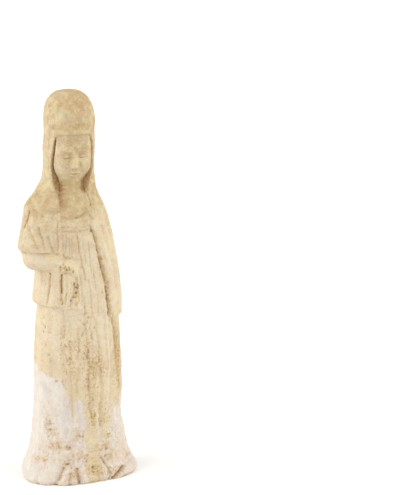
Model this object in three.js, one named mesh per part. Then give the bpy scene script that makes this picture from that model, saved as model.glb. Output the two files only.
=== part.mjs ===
import * as THREE from "three";

// A standing court lady in a tall domed hood, pressed from moulds in pale clay and fired as one piece.
// Sizes are millimetres. She faces -Y, stands on z = 0, and the z axis runs up through her middle.
// Angles go round that axis in degrees: 0 is her front, and a positive angle turns towards +X.
const HEIGHT = 205;
const FARTHEST_REACH = 42;

// The dress and its flared skirt: height, then the reach to -X, to +X, to the front and to the back
const DRESS_POWER = 2.35;
const DRESS = [
  [0, 28.5, 31.4, 17.8, 22.6],
  [2.4, 29.2, 32.1, 18.5, 23.8],
  [6, 28.6, 30.4, 18.1, 22.8],
  [10, 26.9, 28.2, 17, 20.7],
  [20, 24.3, 25.6, 15.8, 18],
  [37, 22.6, 23.9, 15.4, 16.4],
  [60, 21.5, 24.1, 15.6, 15.8],
  [83, 20.3, 23.7, 16, 15.4],
  [101, 19.3, 22.2, 16.4, 14.8],
  [121, 19.2, 20.2, 15.5, 14.2],
  [139.5, 18.7, 17.2, 13.4, 13.7],
  [147.5, 17.2, 14.6, 12.1, 11],
  [152, 15, 11.6, 10.9, 8.6],
  [157, 12.2, 8, 9.3, 8],
  [163, 10.6, 6.8, 8.6, 8],
];

// The hood and the coat that hangs from the shoulders, in the same form
const CLOAK_POWER = 2.2;
const CLOAK = [
  [85, 22.4, 25.3, 17.4, 17.7],
  [97, 21.9, 25, 17.8, 17.1],
  [113, 20.3, 23.4, 17.2, 16.2],
  [121, 21.5, 22.1, 16.6, 15.9],
  [137.5, 24.9, 18.9, 14.7, 15.4],
  [144.5, 24.2, 16.9, 13.1, 15.2],
  [150, 20.9, 14.4, 11.7, 15],
  [155, 17.5, 12.6, 11.1, 15],
  [160.5, 14.5, 11.7, 11.1, 15.3],
  [165, 13.9, 11.4, 11.5, 15.6],
  [175, 13.5, 11.3, 13.1, 16.5],
  [183, 12.8, 11.5, 12.8, 16],
  [191, 13.2, 12.4, 12.6, 15.8],
];
const DOME_FROM = 183;
const DOME_BLUNTNESS = 4.2;
const DOME_ROUNDNESS = 2.4;
const DOME_SHIFT = [0, 2];

// The opening in front, for the face, the chest and the dress: height and the x of its two edges
const OPENING_TOP = 183.6;
const OPENING_DEPTH = -3;
const EDGE_ROUNDING = 1;
const DRAPE_THICKNESS = 0.5;
const DRAPE_SHARE_ON_LEFT = 0.25;
const OPENING = [
  [87, -6.4, 16.1],
  [102, -7.3, 14.5],
  [113, -8.5, 11.9],
  [123, -9.4, 9.6],
  [130, -9.4, 8.6],
  [138.5, -9.4, 6.2],
  [147.5, -9.6, 5.8],
  [153.5, -10.5, 4.8],
  [160.5, -11, 6.3],
  [168, -11.5, 8.8],
  [178, -10.5, 9],
  [OPENING_TOP, -9.5, 7.9],
];

// Head and face, set a little to -X of the axis; the face keeps the usual thirds and fifths
const HEAD_X = -1.2;
const HEAD_REACH = [11.6, 11.2, 12, 9];
const HEAD_POWER = 2.7;
const HEAD_WIDEST = 174;
const NECK_TOP = 165;
const HEAD_TOP = 186;
const CHIN_HEIGHT = 158.6;
const FACE_THIRD = (OPENING_TOP - CHIN_HEIGHT) / 3;
const EYE_WIDTH = 4.1;

// Cut between the face and the edge of the hood, deeper on her right; widths are angles inside that edge
const FACE_CUT = { rightDepth: 2.2, leftDepth: 1.5, middle: 2.6, halfWidth: 2.4 };
const FACE_CUT_HEIGHTS = { from: 155, fullFrom: 170, fadeAbove: 178.6 };

// Her bent right arm: the sleeve ends above the forearm, and the fist holds the gathered front of the coat
const SHOULDER = [-15.6, 0.5, 143.5];
const SLEEVE_END = [-20.2, -5, 124.5];
const SLEEVE_RADII = [9.2, 10];
const INSIDE_SLEEVE = [-22.8, -6, 126];
const ELBOW = [-21.6, -7, 121.4];
const FIST = [-5, -15.4, 116.9];
const UPPER_ARM_RADII = [5.9, 6.3];
const FOREARM_RADII = [6.3, 3.2];
const GATHER_TOP = [-4.6, -13.9, 115];
const GATHER_END = [-5.2, -13.2, 94];
const GATHER_RADII = [3.6, 4.7];
const GATHER_HEM = 95.4;

// Hems, from her left side round to her right, and the widths over which forms melt into each other
const COAT_HEM = [87.6, 96.2];
const DRAPE_HEM = [139.5, 145];
const CUFF_HEM = 124.9;
const CUFF_RISE_OUTWARDS = 1.2;
const CUFF_FALL_ALONG_FOREARM = 5;
const MELT = { neck: 2.2, cloak: 0.4, elbow: 1, gather: 0.6, arm: 1.4, sleeve: 2.4 };
const COLLAR = { height: 150.5, halfHeight: 4, extraMelt: 2.2 };
const ROUNDING = { hem: 0.8, browCorner: 2.5, openingBack: 0.5, overHang: 0.5 };

// Folds, pleats and creases pressed into the clay: depth, half width, then the path as angle and height
const SLEEVE_FOLDS = [
  [-1.1, 1.2, [-62, 138], [-55, 130], [-53, 126]],
  [0.8, 1.2, [-57, 137], [-51, 126]],
  [-0.9, 1.1, [-53.5, 132.5], [-48.5, 126]],
  [-0.8, 1.4, [-70, 136], [-57, 127]],
  [-1, 1.3, [-77, 145], [-79, 135]],
  [-0.5, 1.6, [68, 147], [64, 133], [72, 122]],
  [-0.6, 1.6, [60, 121], [59, 103]],
];
const COAT_FOLDS = [
  [-1, 1.4, [-51, 113.5], [-55, 98]],
  [-1.2, 1.3, [-34, 113], [-33, 97.5]],
  [-0.7, 1.1, [-25, 105], [-23, 96.7]],
  [-0.8, 1.2, [26, 135.7], [32, 128], [38, 116.5], [44.5, 105], [49, 90]],
];
const DRESS_FOLDS = [
  [-0.5, 0.9, [-36, 142.6], [-13, 141.3], [0, 141.8], [18, 144.8]],
  [-0.5, 0.8, [-35, 136.4], [22, 136]],
  [-0.5, 0.9, [-21, 132], [-21.5, 122]],
  [-0.7, 1, [-5, 132.5], [-1, 122.8], [8, 109.5]],
  [-0.5, 1, [16, 129], [18, 112]],
];
const HAND_FOLDS = [
  [-0.8, 0.8, [-11, 111], [-11, 102]],
  [-0.6, 0.8, [-17, 107], [-18, 97]],
];
const SKIRT_FOLDS = [
  [-0.6, 1.2, [-32, 95], [-33, 56]],
  [-0.5, 1.1, [-23, 88], [-23, 38]],
  [-0.7, 1.5, [4, 96], [8, 77.6], [10, 55.8], [16, 33.1]],
  [-0.7, 1.6, [25, 88], [33, 56], [34, 32]],
  [-1.2, 2, [51, 90], [58.5, 83], [62.5, 66], [68, 48]],
];
const HEM_CREASES = [
  [-1.1, 1.8, [-45, 0], [-38.5, 8]],
  [0.6, 2.4, [-30, 1], [-31, 6]],
  [-1, 1.5, [-12.5, 0], [-16, 9]],
  [-0.8, 1.4, [38, 0], [39, 4], [30, 12.5]],
  [-1.1, 1.3, [43, 1], [56, 5.5]],
  [-1.1, 1.5, [-30.5, 11.4], [-29.5, 11.4]],
  [-1, 1.2, [12, 9.2], [12, 7.2]],
];
const BACK_FLUTES = { from: 92, to: 268, count: 7, top: 80, bottom: 14, depth: -1, halfWidth: 3 };
const BACK_DRAPES = { from: 140, to: 220, count: 3, top: 134, bottom: 99, depth: -0.7, halfWidth: 2.6 };

// Grid of the surface: columns between the edges of the opening, beside them on -X and +X, and behind
const FRONT_COLUMNS = 25;
const MINUS_SIDE_COLUMNS = 17;
const PLUS_SIDE_COLUMNS = 12;
const BACK_COLUMNS = 9;
const SIDE_ANGLE = 100;
const EDGE_HALF_ANGLE = 1.8;
const CUT_END_ANGLE = 6;
const STEP_HALF_HEIGHT = 0.4;

const radians = THREE.MathUtils.degToRad;
const degrees = THREE.MathUtils.radToDeg;
const { lerp, smoothstep, clamp } = THREE.MathUtils;

// Hems as heights round the figure
function coatHem(angle) {
  return lerp(...COAT_HEM, smoothstep(-Math.sin(radians(angle)), -0.9, 0.5));
}

function cuffHem(angle) {
  const outwards = smoothstep(-angle, 37, 85);
  const alongForearm = smoothstep(angle, -37, -8);
  return CUFF_HEM + CUFF_RISE_OUTWARDS * outwards - CUFF_FALL_ALONG_FOREARM * alongForearm;
}

function drapeHem(angle) {
  return lerp(...DRAPE_HEM, smoothstep(-Math.sin(radians(angle)), -0.9, 0.7));
}

// A row of stations read at height z, along a curve that never overshoots them
function readStations(stations, z) {
  const last = stations.length - 1;
  if (z <= stations[0][0]) return stations[0].slice(1);
  if (z >= stations[last][0]) return stations[last].slice(1);
  let i = 0;
  while (z > stations[i + 1][0]) i += 1;
  const gap = stations[i + 1][0] - stations[i][0];
  const t = (z - stations[i][0]) / gap;
  return stations[i].slice(1).map((value, column) => {
    const slope = (k) => {
      if (k < 0 || k >= last) return 0;
      return (stations[k + 1][column + 1] - stations[k][column + 1]) / (stations[k + 1][0] - stations[k][0]);
    };
    const tangent = (a, b) => (a * b <= 0 ? 0 : (2 * a * b) / (a + b));
    const next = stations[i + 1][column + 1];
    const rise = next - value;
    const startBend = tangent(slope(i - 1), slope(i)) * gap - rise;
    const endBend = tangent(slope(i), slope(i + 1)) * gap - rise;
    return value + rise * t + t * (1 - t) * ((1 - t) * startBend - t * endBend);
  });
}

function smoothUnion(a, b, width) {
  const overlap = Math.max(width - Math.abs(a - b), 0) / width;
  return Math.min(a, b) - (overlap * overlap * width) / 4;
}

function smoothCut(a, b, width) {
  return -smoothUnion(-a, -b, width);
}

// How far a point lies outside a section whose four reaches differ, measured towards the axis
function outsideSection(x, y, [toMinusX, toPlusX, toFront, toBack], power) {
  const radius = Math.hypot(x, y);
  const acrossX = Math.abs(x) / (x < 0 ? toMinusX : toPlusX);
  const acrossY = Math.abs(y) / (y < 0 ? toFront : toBack);
  const reach = (acrossX ** power + acrossY ** power) ** (1 / power);
  return reach > 0 ? radius - radius / reach : -Math.min(toFront, toBack);
}

// How far a point lies outside a rounded rod whose radius changes from its start to its end
function outsideTaper(point, start, end, [startRadius, endRadius]) {
  const along = end.map((value, axis) => value - start[axis]);
  const away = point.map((value, axis) => value - start[axis]);
  const lengthSquared = along.reduce((sum, value) => sum + value * value, 0);
  const t = clamp(away.reduce((sum, value, axis) => sum + value * along[axis], 0) / lengthSquared, 0, 1);
  const gap = Math.hypot(...away.map((value, axis) => value - t * along[axis]));
  return gap - lerp(startRadius, endRadius, t);
}

function dress(x, y, z) {
  return Math.max(outsideSection(x, y, readStations(DRESS, z), DRESS_POWER), z - NECK_TOP);
}

// An oval that narrows from the temples to the chin, while the chin stays forward
function head(x, y, z) {
  const drop = clamp((HEAD_WIDEST - z) / (HEAD_WIDEST - CHIN_HEIGHT + 1), 0, 0.999);
  const narrowing = Math.sqrt(1 - drop ** 2.6);
  const forward = Math.sqrt(1 - drop ** 3.6);
  const [toMinusX, toPlusX, toFront, toBack] = HEAD_REACH;
  const reach = [toMinusX * narrowing, toPlusX * narrowing, toFront * forward, toBack * forward];
  return Math.max(outsideSection(x - HEAD_X, y, reach, HEAD_POWER), z - HEAD_TOP);
}

// Hood and coat are one layer with rounded edges, open in front and cut off along the coat's hem
function cloak(x, y, z, angle) {
  const risen = clamp((z - DOME_FROM) / (HEIGHT - DOME_FROM), 0, 0.9999);
  const dome = (1 - risen ** DOME_BLUNTNESS) ** (1 / DOME_ROUNDNESS);
  const reach = readStations(CLOAK, z).map((value) => value * dome);
  const outside = outsideSection(x - DOME_SHIFT[0] * risen, y - DOME_SHIFT[1] * risen, reach, CLOAK_POWER);
  const [minusEdge, plusEdge] = readStations(OPENING, z);
  const besideOpening = Math.max(minusEdge - x, x - plusEdge);
  const outsideFrame = smoothCut(besideOpening, z - OPENING_TOP, ROUNDING.browCorner);
  const outsideOpening = smoothCut(outsideFrame, y - OPENING_DEPTH, ROUNDING.openingBack);
  const share = lerp(DRAPE_SHARE_ON_LEFT, 1, smoothstep(-Math.sin(radians(angle)), -0.7, 0.1));
  const aboveHem = smoothstep(z - drapeHem(angle), -ROUNDING.overHang, ROUNDING.overHang);
  const drape = DRAPE_THICKNESS * share * aboveHem * (1 - risen);
  const opened = smoothCut(outside - drape, -outsideOpening, EDGE_ROUNDING);
  return smoothCut(opened, coatHem(angle) - z, ROUNDING.hem);
}

// The whole figure as one measure: below zero in the clay, above zero in the air
function clay(x, y, z) {
  const point = [x, y, z];
  const angle = degrees(Math.atan2(x, -y));
  const body = smoothUnion(dress(x, y, z), head(x, y, z), MELT.neck);
  const collarShare = Math.exp(-(((z - COLLAR.height) / COLLAR.halfHeight) ** 2));
  const clothed = smoothUnion(body, cloak(x, y, z, angle), MELT.cloak + COLLAR.extraMelt * collarShare);
  const upperArm = outsideTaper(point, INSIDE_SLEEVE, ELBOW, UPPER_ARM_RADII);
  const forearm = outsideTaper(point, ELBOW, FIST, FOREARM_RADII);
  const gather = outsideTaper(point, GATHER_TOP, GATHER_END, GATHER_RADII);
  const cutGather = smoothCut(gather, GATHER_HEM - z, ROUNDING.hem);
  const arm = smoothUnion(smoothUnion(upperArm, forearm, MELT.elbow), cutGather, MELT.gather);
  const sleeve = outsideTaper(point, SHOULDER, SLEEVE_END, SLEEVE_RADII);
  const cutSleeve = smoothCut(sleeve, cuffHem(angle) - z, ROUNDING.hem);
  return smoothUnion(smoothUnion(clothed, arm, MELT.arm), cutSleeve, MELT.sleeve);
}

// Raised and sunk details of the face: across and up are measured from the middle of the chin
function faceRelief(across, up) {
  const side = Math.abs(across);
  const mound = (x, z, halfX, halfZ) => Math.exp(-(((side - x) / halfX) ** 2) - ((up - z) / halfZ) ** 2);
  const noseBase = FACE_THIRD;
  const brow = 2 * FACE_THIRD;
  const mouth = 0.64 * FACE_THIRD;
  const eye = brow - 0.62 * EYE_WIDTH;
  const downNose = clamp((brow - up) / (brow - noseBase), 0, 1);
  const noseWidth = lerp(1, 1.7, downNose);
  const noseStart = smoothstep(up, noseBase - 0.9, noseBase + 0.8);
  const noseEnd = 1 - smoothstep(up, brow - 2, brow + 1.5);
  const nose = lerp(0.9, 2.6, downNose ** 1.2) * noseStart * noseEnd * Math.exp(-((side / noseWidth) ** 2));
  const wings = 0.8 * mound(1.7, noseBase + 0.7, 0.9, 1);
  const socket = -1 * mound(0.95 * EYE_WIDTH, eye + 0.2, 0.7 * EYE_WIDTH, 1.9);
  const lids = 0.85 * mound(EYE_WIDTH, eye, 0.46 * EYE_WIDTH, 1.1);
  const brows = 0.35 * mound(EYE_WIDTH, brow + 0.2, 0.8 * EYE_WIDTH, 0.9);
  const lips = 0.9 * mound(0, mouth, 0.6 * EYE_WIDTH, 1.5) - 0.55 * mound(0, mouth, 0.65 * EYE_WIDTH, 0.4);
  const cheeks = 0.5 * mound(1.35 * EYE_WIDTH, noseBase, 3, 3.4);
  const chin = 0.8 * mound(0, 1.9, 2.4, 1.8) - 0.35 * mound(0, mouth - 2.1, 2.4, 0.9);
  return nose + wings + socket + lids + brows + lips + cheeks + chin;
}

function evenFolds({ from, to, count, top, bottom, depth, halfWidth }) {
  return Array.from({ length: count }, (_, k) => {
    const angle = lerp(from, to, k / (count - 1));
    const wrapped = angle > 180 ? angle - 360 : angle;
    return [depth, halfWidth, [wrapped, top], [wrapped, bottom]];
  });
}

const FOLDS = [
  ...SLEEVE_FOLDS,
  ...COAT_FOLDS,
  ...DRESS_FOLDS,
  ...HAND_FOLDS,
  ...SKIRT_FOLDS,
  ...HEM_CREASES,
  ...evenFolds(BACK_FLUTES),
  ...evenFolds(BACK_DRAPES),
];

// Sum of all folds at one place; distances are taken on the surface, reach away from the axis
function foldRelief(angle, z, reach) {
  return FOLDS.reduce((sum, [depth, halfWidth, ...path]) => {
    let nearest = Infinity;
    for (let i = 1; i < path.length; i += 1) {
      const across = (turned) => radians(((turned + 540) % 360) - 180) * reach;
      const startX = across(path[i - 1][0] - angle);
      const startZ = path[i - 1][1] - z;
      const alongX = across(path[i][0] - path[i - 1][0]);
      const alongZ = path[i][1] - path[i - 1][1];
      const t = clamp(-(startX * alongX + startZ * alongZ) / (alongX ** 2 + alongZ ** 2), 0, 1);
      nearest = Math.min(nearest, Math.hypot(startX + t * alongX, startZ + t * alongZ));
    }
    return sum + depth * Math.exp(-((nearest / halfWidth) ** 2));
  }, 0);
}

// Distance from the axis to the outermost clay, looking along one level ray
function reachAlong(angle, z) {
  const alongX = Math.sin(radians(angle));
  const alongY = -Math.cos(radians(angle));
  let outer = FARTHEST_REACH;
  let inner = outer - 1;
  while (inner > 0 && clay(alongX * inner, alongY * inner, z) > 0) {
    outer = inner;
    inner -= 1;
  }
  for (let halving = 0; halving < 14; halving += 1) {
    const middle = (inner + outer) / 2;
    if (clay(alongX * middle, alongY * middle, z) > 0) outer = middle;
    else inner = middle;
  }
  return (inner + outer) / 2;
}

function surfacePoint(angle, z) {
  const reach = reachAlong(angle, z);
  const x = Math.sin(radians(angle)) * reach;
  const [minusEdge, plusEdge] = readStations(OPENING, z);
  const inFace = x > minusEdge + 0.6 && x < plusEdge - 0.6 && z > CHIN_HEIGHT - 2 && z < OPENING_TOP - 0.8;
  const face = inFace && Math.abs(angle) < 70 ? faceRelief(x - HEAD_X, z - CHIN_HEIGHT) : 0;
  const grown = reach + face + foldRelief(angle, z, reach) - faceCut(angle, z);
  return [Math.sin(radians(angle)) * grown, -Math.cos(radians(angle)) * grown, z];
}

// Angles of the two edges of the opening where they meet the cloak
function edgeAngles(z) {
  const [, , toFront] = readStations(CLOAK, z);
  return readStations(OPENING, z).map((x, side) => {
    const reach = readStations(CLOAK, z)[side];
    const corner = x + Math.sign(x) * EDGE_ROUNDING / 2;
    const y = -toFront * (1 - (Math.abs(corner) / reach) ** CLOAK_POWER) ** (1 / CLOAK_POWER);
    return degrees(Math.atan2(corner, -y));
  });
}

// Depth of the cut beside the face, which fades out down the neck and stops under the hood's brow
function faceCut(angle, z) {
  const [minusEdge, plusEdge] = edgeAngles(z);
  const inside = Math.min(angle - minusEdge, plusEdge - angle);
  const { from, fullFrom, fadeAbove } = FACE_CUT_HEIGHTS;
  const along = smoothstep(z, from, fullFrom) * (1 - smoothstep(z, fadeAbove, OPENING_TOP));
  const depth = angle < 0 ? FACE_CUT.rightDepth : FACE_CUT.leftDepth;
  return depth * along * Math.exp(-(((inside - FACE_CUT.middle) / FACE_CUT.halfWidth) ** 2));
}

// Columns run from the back round -X, over the front and round +X to the back again
function columnSeams(z) {
  const [minusEdge, plusEdge] = edgeAngles(z);
  return [
    [-180, 0],
    [-SIDE_ANGLE, BACK_COLUMNS],
    [minusEdge - EDGE_HALF_ANGLE, MINUS_SIDE_COLUMNS],
    [minusEdge + EDGE_HALF_ANGLE, 1],
    [minusEdge + CUT_END_ANGLE, 1],
    [plusEdge - CUT_END_ANGLE, FRONT_COLUMNS],
    [plusEdge - EDGE_HALF_ANGLE, 1],
    [plusEdge + EDGE_HALF_ANGLE, 1],
    [SIDE_ANGLE, PLUS_SIDE_COLUMNS],
    [180, BACK_COLUMNS],
  ];
}

function columnAngle(column, z) {
  const seams = columnSeams(z);
  let left = column;
  let i = 1;
  while (left > seams[i][1]) {
    left -= seams[i][1];
    i += 1;
  }
  return lerp(seams[i - 1][0], seams[i][0], left / seams[i][1]);
}

// Rows run between level curves that follow the hems, and close up over the dome
function rowHeights(angle) {
  const hem = coatHem(angle);
  const cuff = cuffHem(angle);
  const drape = drapeHem(angle);
  const curves = [
    [0, 0],
    [3, 2],
    [20, 5],
    [hem - STEP_HALF_HEIGHT, 11],
    [hem + STEP_HALF_HEIGHT, 1],
    [cuff - 12, 6],
    [cuff - STEP_HALF_HEIGHT, 7],
    [cuff + STEP_HALF_HEIGHT, 1],
    [drape - STEP_HALF_HEIGHT, 6],
    [drape + STEP_HALF_HEIGHT, 1],
    [158, 5],
    [OPENING_TOP - STEP_HALF_HEIGHT, 12],
    [OPENING_TOP + STEP_HALF_HEIGHT, 1],
  ];
  const domeSteps = 7;
  const heights = [0];
  for (let i = 1; i < curves.length; i += 1) {
    const [top, steps] = curves[i];
    for (let step = 1; step <= steps; step += 1) heights.push(lerp(curves[i - 1][0], top, step / steps));
  }
  const domeBase = heights[heights.length - 1];
  for (let step = 1; step < domeSteps; step += 1) {
    const risen = Math.sin((step / domeSteps) * (Math.PI / 2)) ** (2 / DOME_BLUNTNESS);
    heights.push(Math.max(DOME_FROM + (HEIGHT - DOME_FROM) * risen, domeBase + step * STEP_HALF_HEIGHT));
  }
  return heights;
}

// Closed skin: a grid round the figure, a point at the top and a flat fan for the underside
function figurineGeometry() {
  const columns = columnSeams(0).reduce((sum, [, steps]) => sum + steps, 0);
  const rows = rowHeights(0).length;
  const points = [];
  for (let column = 0; column < columns; column += 1) {
    for (let row = 0; row < rows; row += 1) {
      let angle = columnAngle(column, HEIGHT / 2);
      for (let round = 0; round < 3; round += 1) angle = columnAngle(column, rowHeights(angle)[row]);
      points.push(...surfacePoint(angle, rowHeights(angle)[row]));
    }
  }
  const top = points.length / 3;
  points.push(...DOME_SHIFT, HEIGHT);
  const underside = top + 1;
  points.push(0, 0, 0);
  const gap = (a, b) => Math.hypot(...[0, 1, 2].map((axis) => points[3 * a + axis] - points[3 * b + axis]));
  const faces = [];
  for (let column = 0; column < columns; column += 1) {
    const here = column * rows;
    const next = ((column + 1) % columns) * rows;
    for (let row = 0; row < rows - 1; row += 1) {
      const [low, lowNext, high, highNext] = [here + row, next + row, here + row + 1, next + row + 1];
      if (gap(low, highNext) < gap(lowNext, high)) faces.push(low, lowNext, highNext, low, highNext, high);
      else faces.push(low, lowNext, high, lowNext, highNext, high);
    }
    faces.push(here + rows - 1, next + rows - 1, top);
    faces.push(here, underside, next);
  }
  const geometry = new THREE.BufferGeometry();
  geometry.setAttribute("position", new THREE.Float32BufferAttribute(points, 3));
  geometry.setIndex(faces);
  geometry.computeVertexNormals();
  return geometry;
}

const clayMaterial = new THREE.MeshStandardMaterial({ color: 0xdcc8a4, roughness: 0.9, metalness: 0 });

const figurine = new THREE.Mesh(figurineGeometry(), clayMaterial);
figurine.name = "figurine";

const part = new THREE.Group();
part.add(figurine);

export default part;
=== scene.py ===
import itertools
import math

import bpy
import numpy as np
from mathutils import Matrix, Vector


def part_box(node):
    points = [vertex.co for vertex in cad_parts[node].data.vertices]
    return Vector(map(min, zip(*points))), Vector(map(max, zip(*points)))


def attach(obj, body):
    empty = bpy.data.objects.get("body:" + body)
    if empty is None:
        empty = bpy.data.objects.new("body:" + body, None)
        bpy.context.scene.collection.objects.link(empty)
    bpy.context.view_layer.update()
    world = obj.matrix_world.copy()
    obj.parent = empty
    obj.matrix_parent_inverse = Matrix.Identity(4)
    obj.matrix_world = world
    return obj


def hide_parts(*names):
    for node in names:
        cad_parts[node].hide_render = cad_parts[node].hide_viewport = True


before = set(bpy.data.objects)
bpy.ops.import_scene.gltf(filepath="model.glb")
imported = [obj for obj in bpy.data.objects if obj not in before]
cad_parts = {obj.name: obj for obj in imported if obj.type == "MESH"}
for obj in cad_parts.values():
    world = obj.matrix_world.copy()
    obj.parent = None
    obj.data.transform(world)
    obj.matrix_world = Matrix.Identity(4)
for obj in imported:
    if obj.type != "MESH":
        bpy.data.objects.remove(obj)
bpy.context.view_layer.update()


# The body under the coat: a long dress that was pressed as the core of the figure and flares to the base.
# It is pale low-fired clay, squeezed into a front mould and a plainer back mould. Here and in all that
# follows of the clay, lengths are millimetres, and an angle is in degrees from her front towards +X.
MILLIMETRE = 0.001
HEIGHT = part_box("figurine")[1].z / MILLIMETRE
DRESS_POWER = 2.35
DRESS = (
    (0, 28.5, 31.4, 17.8, 22.6),
    (2.4, 29.2, 32.1, 18.5, 23.8),
    (6, 28.6, 30.4, 18.1, 22.8),
    (10, 26.9, 28.2, 17, 20.7),
    (20, 24.3, 25.6, 15.8, 18),
    (37, 22.6, 23.9, 15.4, 16.4),
    (60, 21.5, 24.1, 15.6, 15.8),
    (83, 20.3, 23.7, 16, 15.4),
    (101, 19.3, 22.2, 16.4, 14.8),
    (121, 19.2, 20.2, 15.5, 14.2),
    (139.5, 18.7, 17.2, 13.4, 13.7),
    (147.5, 17.2, 14.6, 12.1, 11),
    (152, 15, 11.6, 10.9, 8.6),
    (157, 12.2, 8, 9.3, 8),
    (163, 10.6, 6.8, 8.6, 8),
)
NECK_TOP = 165


def read_stations(stations, z):
    """Columns of a table of stations at heights z. Between stations each follows a cubic whose slope
    at a station is the harmonic mean of the slopes beside it, so it never overshoots them."""
    table = np.array(stations, float)
    heights, values = table[:, 0], table[:, 1:]
    slopes = np.diff(values, axis=0) / np.diff(heights)[:, None]
    product = slopes[:-1] * slopes[1:]
    total = slopes[:-1] + slopes[1:]
    inner = np.where(product > 0, 2 * product / np.where(product > 0, total, 1), 0)
    flat = np.zeros((1, values.shape[1]))
    tangents = np.concatenate([flat, inner, flat])
    held = np.clip(z, heights[0], heights[-1])
    i = np.clip(np.searchsorted(heights, held, side="right") - 1, 0, len(heights) - 2)
    gap = (heights[i + 1] - heights[i])[..., None]
    t = (held - heights[i])[..., None] / gap
    rise = values[i + 1] - values[i]
    start_bend = tangents[i] * gap - rise
    end_bend = tangents[i + 1] * gap - rise
    read = values[i] + rise * t + t * (1 - t) * ((1 - t) * start_bend - t * end_bend)
    return np.moveaxis(read, -1, 0)


def smooth_step(value, start, end):
    """0 before start, 1 after end, and 3t2 - 2t3 between them."""
    t = np.clip((value - start) / (end - start), 0, 1)
    return t * t * (3 - 2 * t)


def blend(start, end, t):
    """Straight mix: start at t = 0 and end at t = 1."""
    return start + (end - start) * t


def smooth_union(a, b, width):
    """The smaller of two distances outside, less a quarter of their squared overlap, which rounds the join."""
    overlap = np.maximum(width - np.abs(a - b), 0) / width
    return np.minimum(a, b) - overlap * overlap * width / 4


def smooth_cut(a, b, width):
    """The larger of two distances outside, with a rounded edge."""
    return -smooth_union(-a, -b, width)


def outside_section(x, y, reach, power):
    """How far a point lies outside an oval with four reaches: (|x|/rx)^p + (|y|/ry)^p = 1, measured to the axis."""
    to_minus_x, to_plus_x, to_front, to_back = reach
    radius = np.hypot(x, y)
    across_x = np.abs(x) / np.where(x < 0, to_minus_x, to_plus_x)
    across_y = np.abs(y) / np.where(y < 0, to_front, to_back)
    share = (across_x**power + across_y**power) ** (1 / power)
    return radius - radius / np.maximum(share, 1e-6)


def dress(x, y, z, level):
    """Distance outside the dress and neck, which end inside the head."""
    return np.maximum(outside_section(x, y, level["dress"], DRESS_POWER), z - NECK_TOP)


# Her head, calm and straight to the front, set a little to -X. It was pressed with the front mould and
# fills the opening of the hood. The face is a plain general one: three equal thirds high, five eyes wide.
HEAD_X = -1.2
HEAD_REACH = (11.6, 11.2, 12, 9)
HEAD_POWER = 2.7
HEAD_WIDEST = 174
HEAD_TOP = 186
CHIN_HEIGHT = 158.6
FACE_TOP = 183.6
FACE_THIRD = (FACE_TOP - CHIN_HEIGHT) / 3
EYE_WIDTH = 4.1


def head(x, y, z):
    """Distance outside an oval that narrows from the temples to the chin as sqrt(1 - drop^2.6),
    while the chin stays forward as sqrt(1 - drop^3.6)."""
    drop = np.clip((HEAD_WIDEST - z) / (HEAD_WIDEST - CHIN_HEIGHT + 1), 0, 0.999)
    narrowing = np.sqrt(1 - drop**2.6)
    forward = np.sqrt(1 - drop**3.6)
    shares = (narrowing, narrowing, forward, forward)
    reach = [size * share for size, share in zip(HEAD_REACH, shares)]
    return np.maximum(outside_section(x - HEAD_X, y, reach, HEAD_POWER), z - HEAD_TOP)


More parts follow.
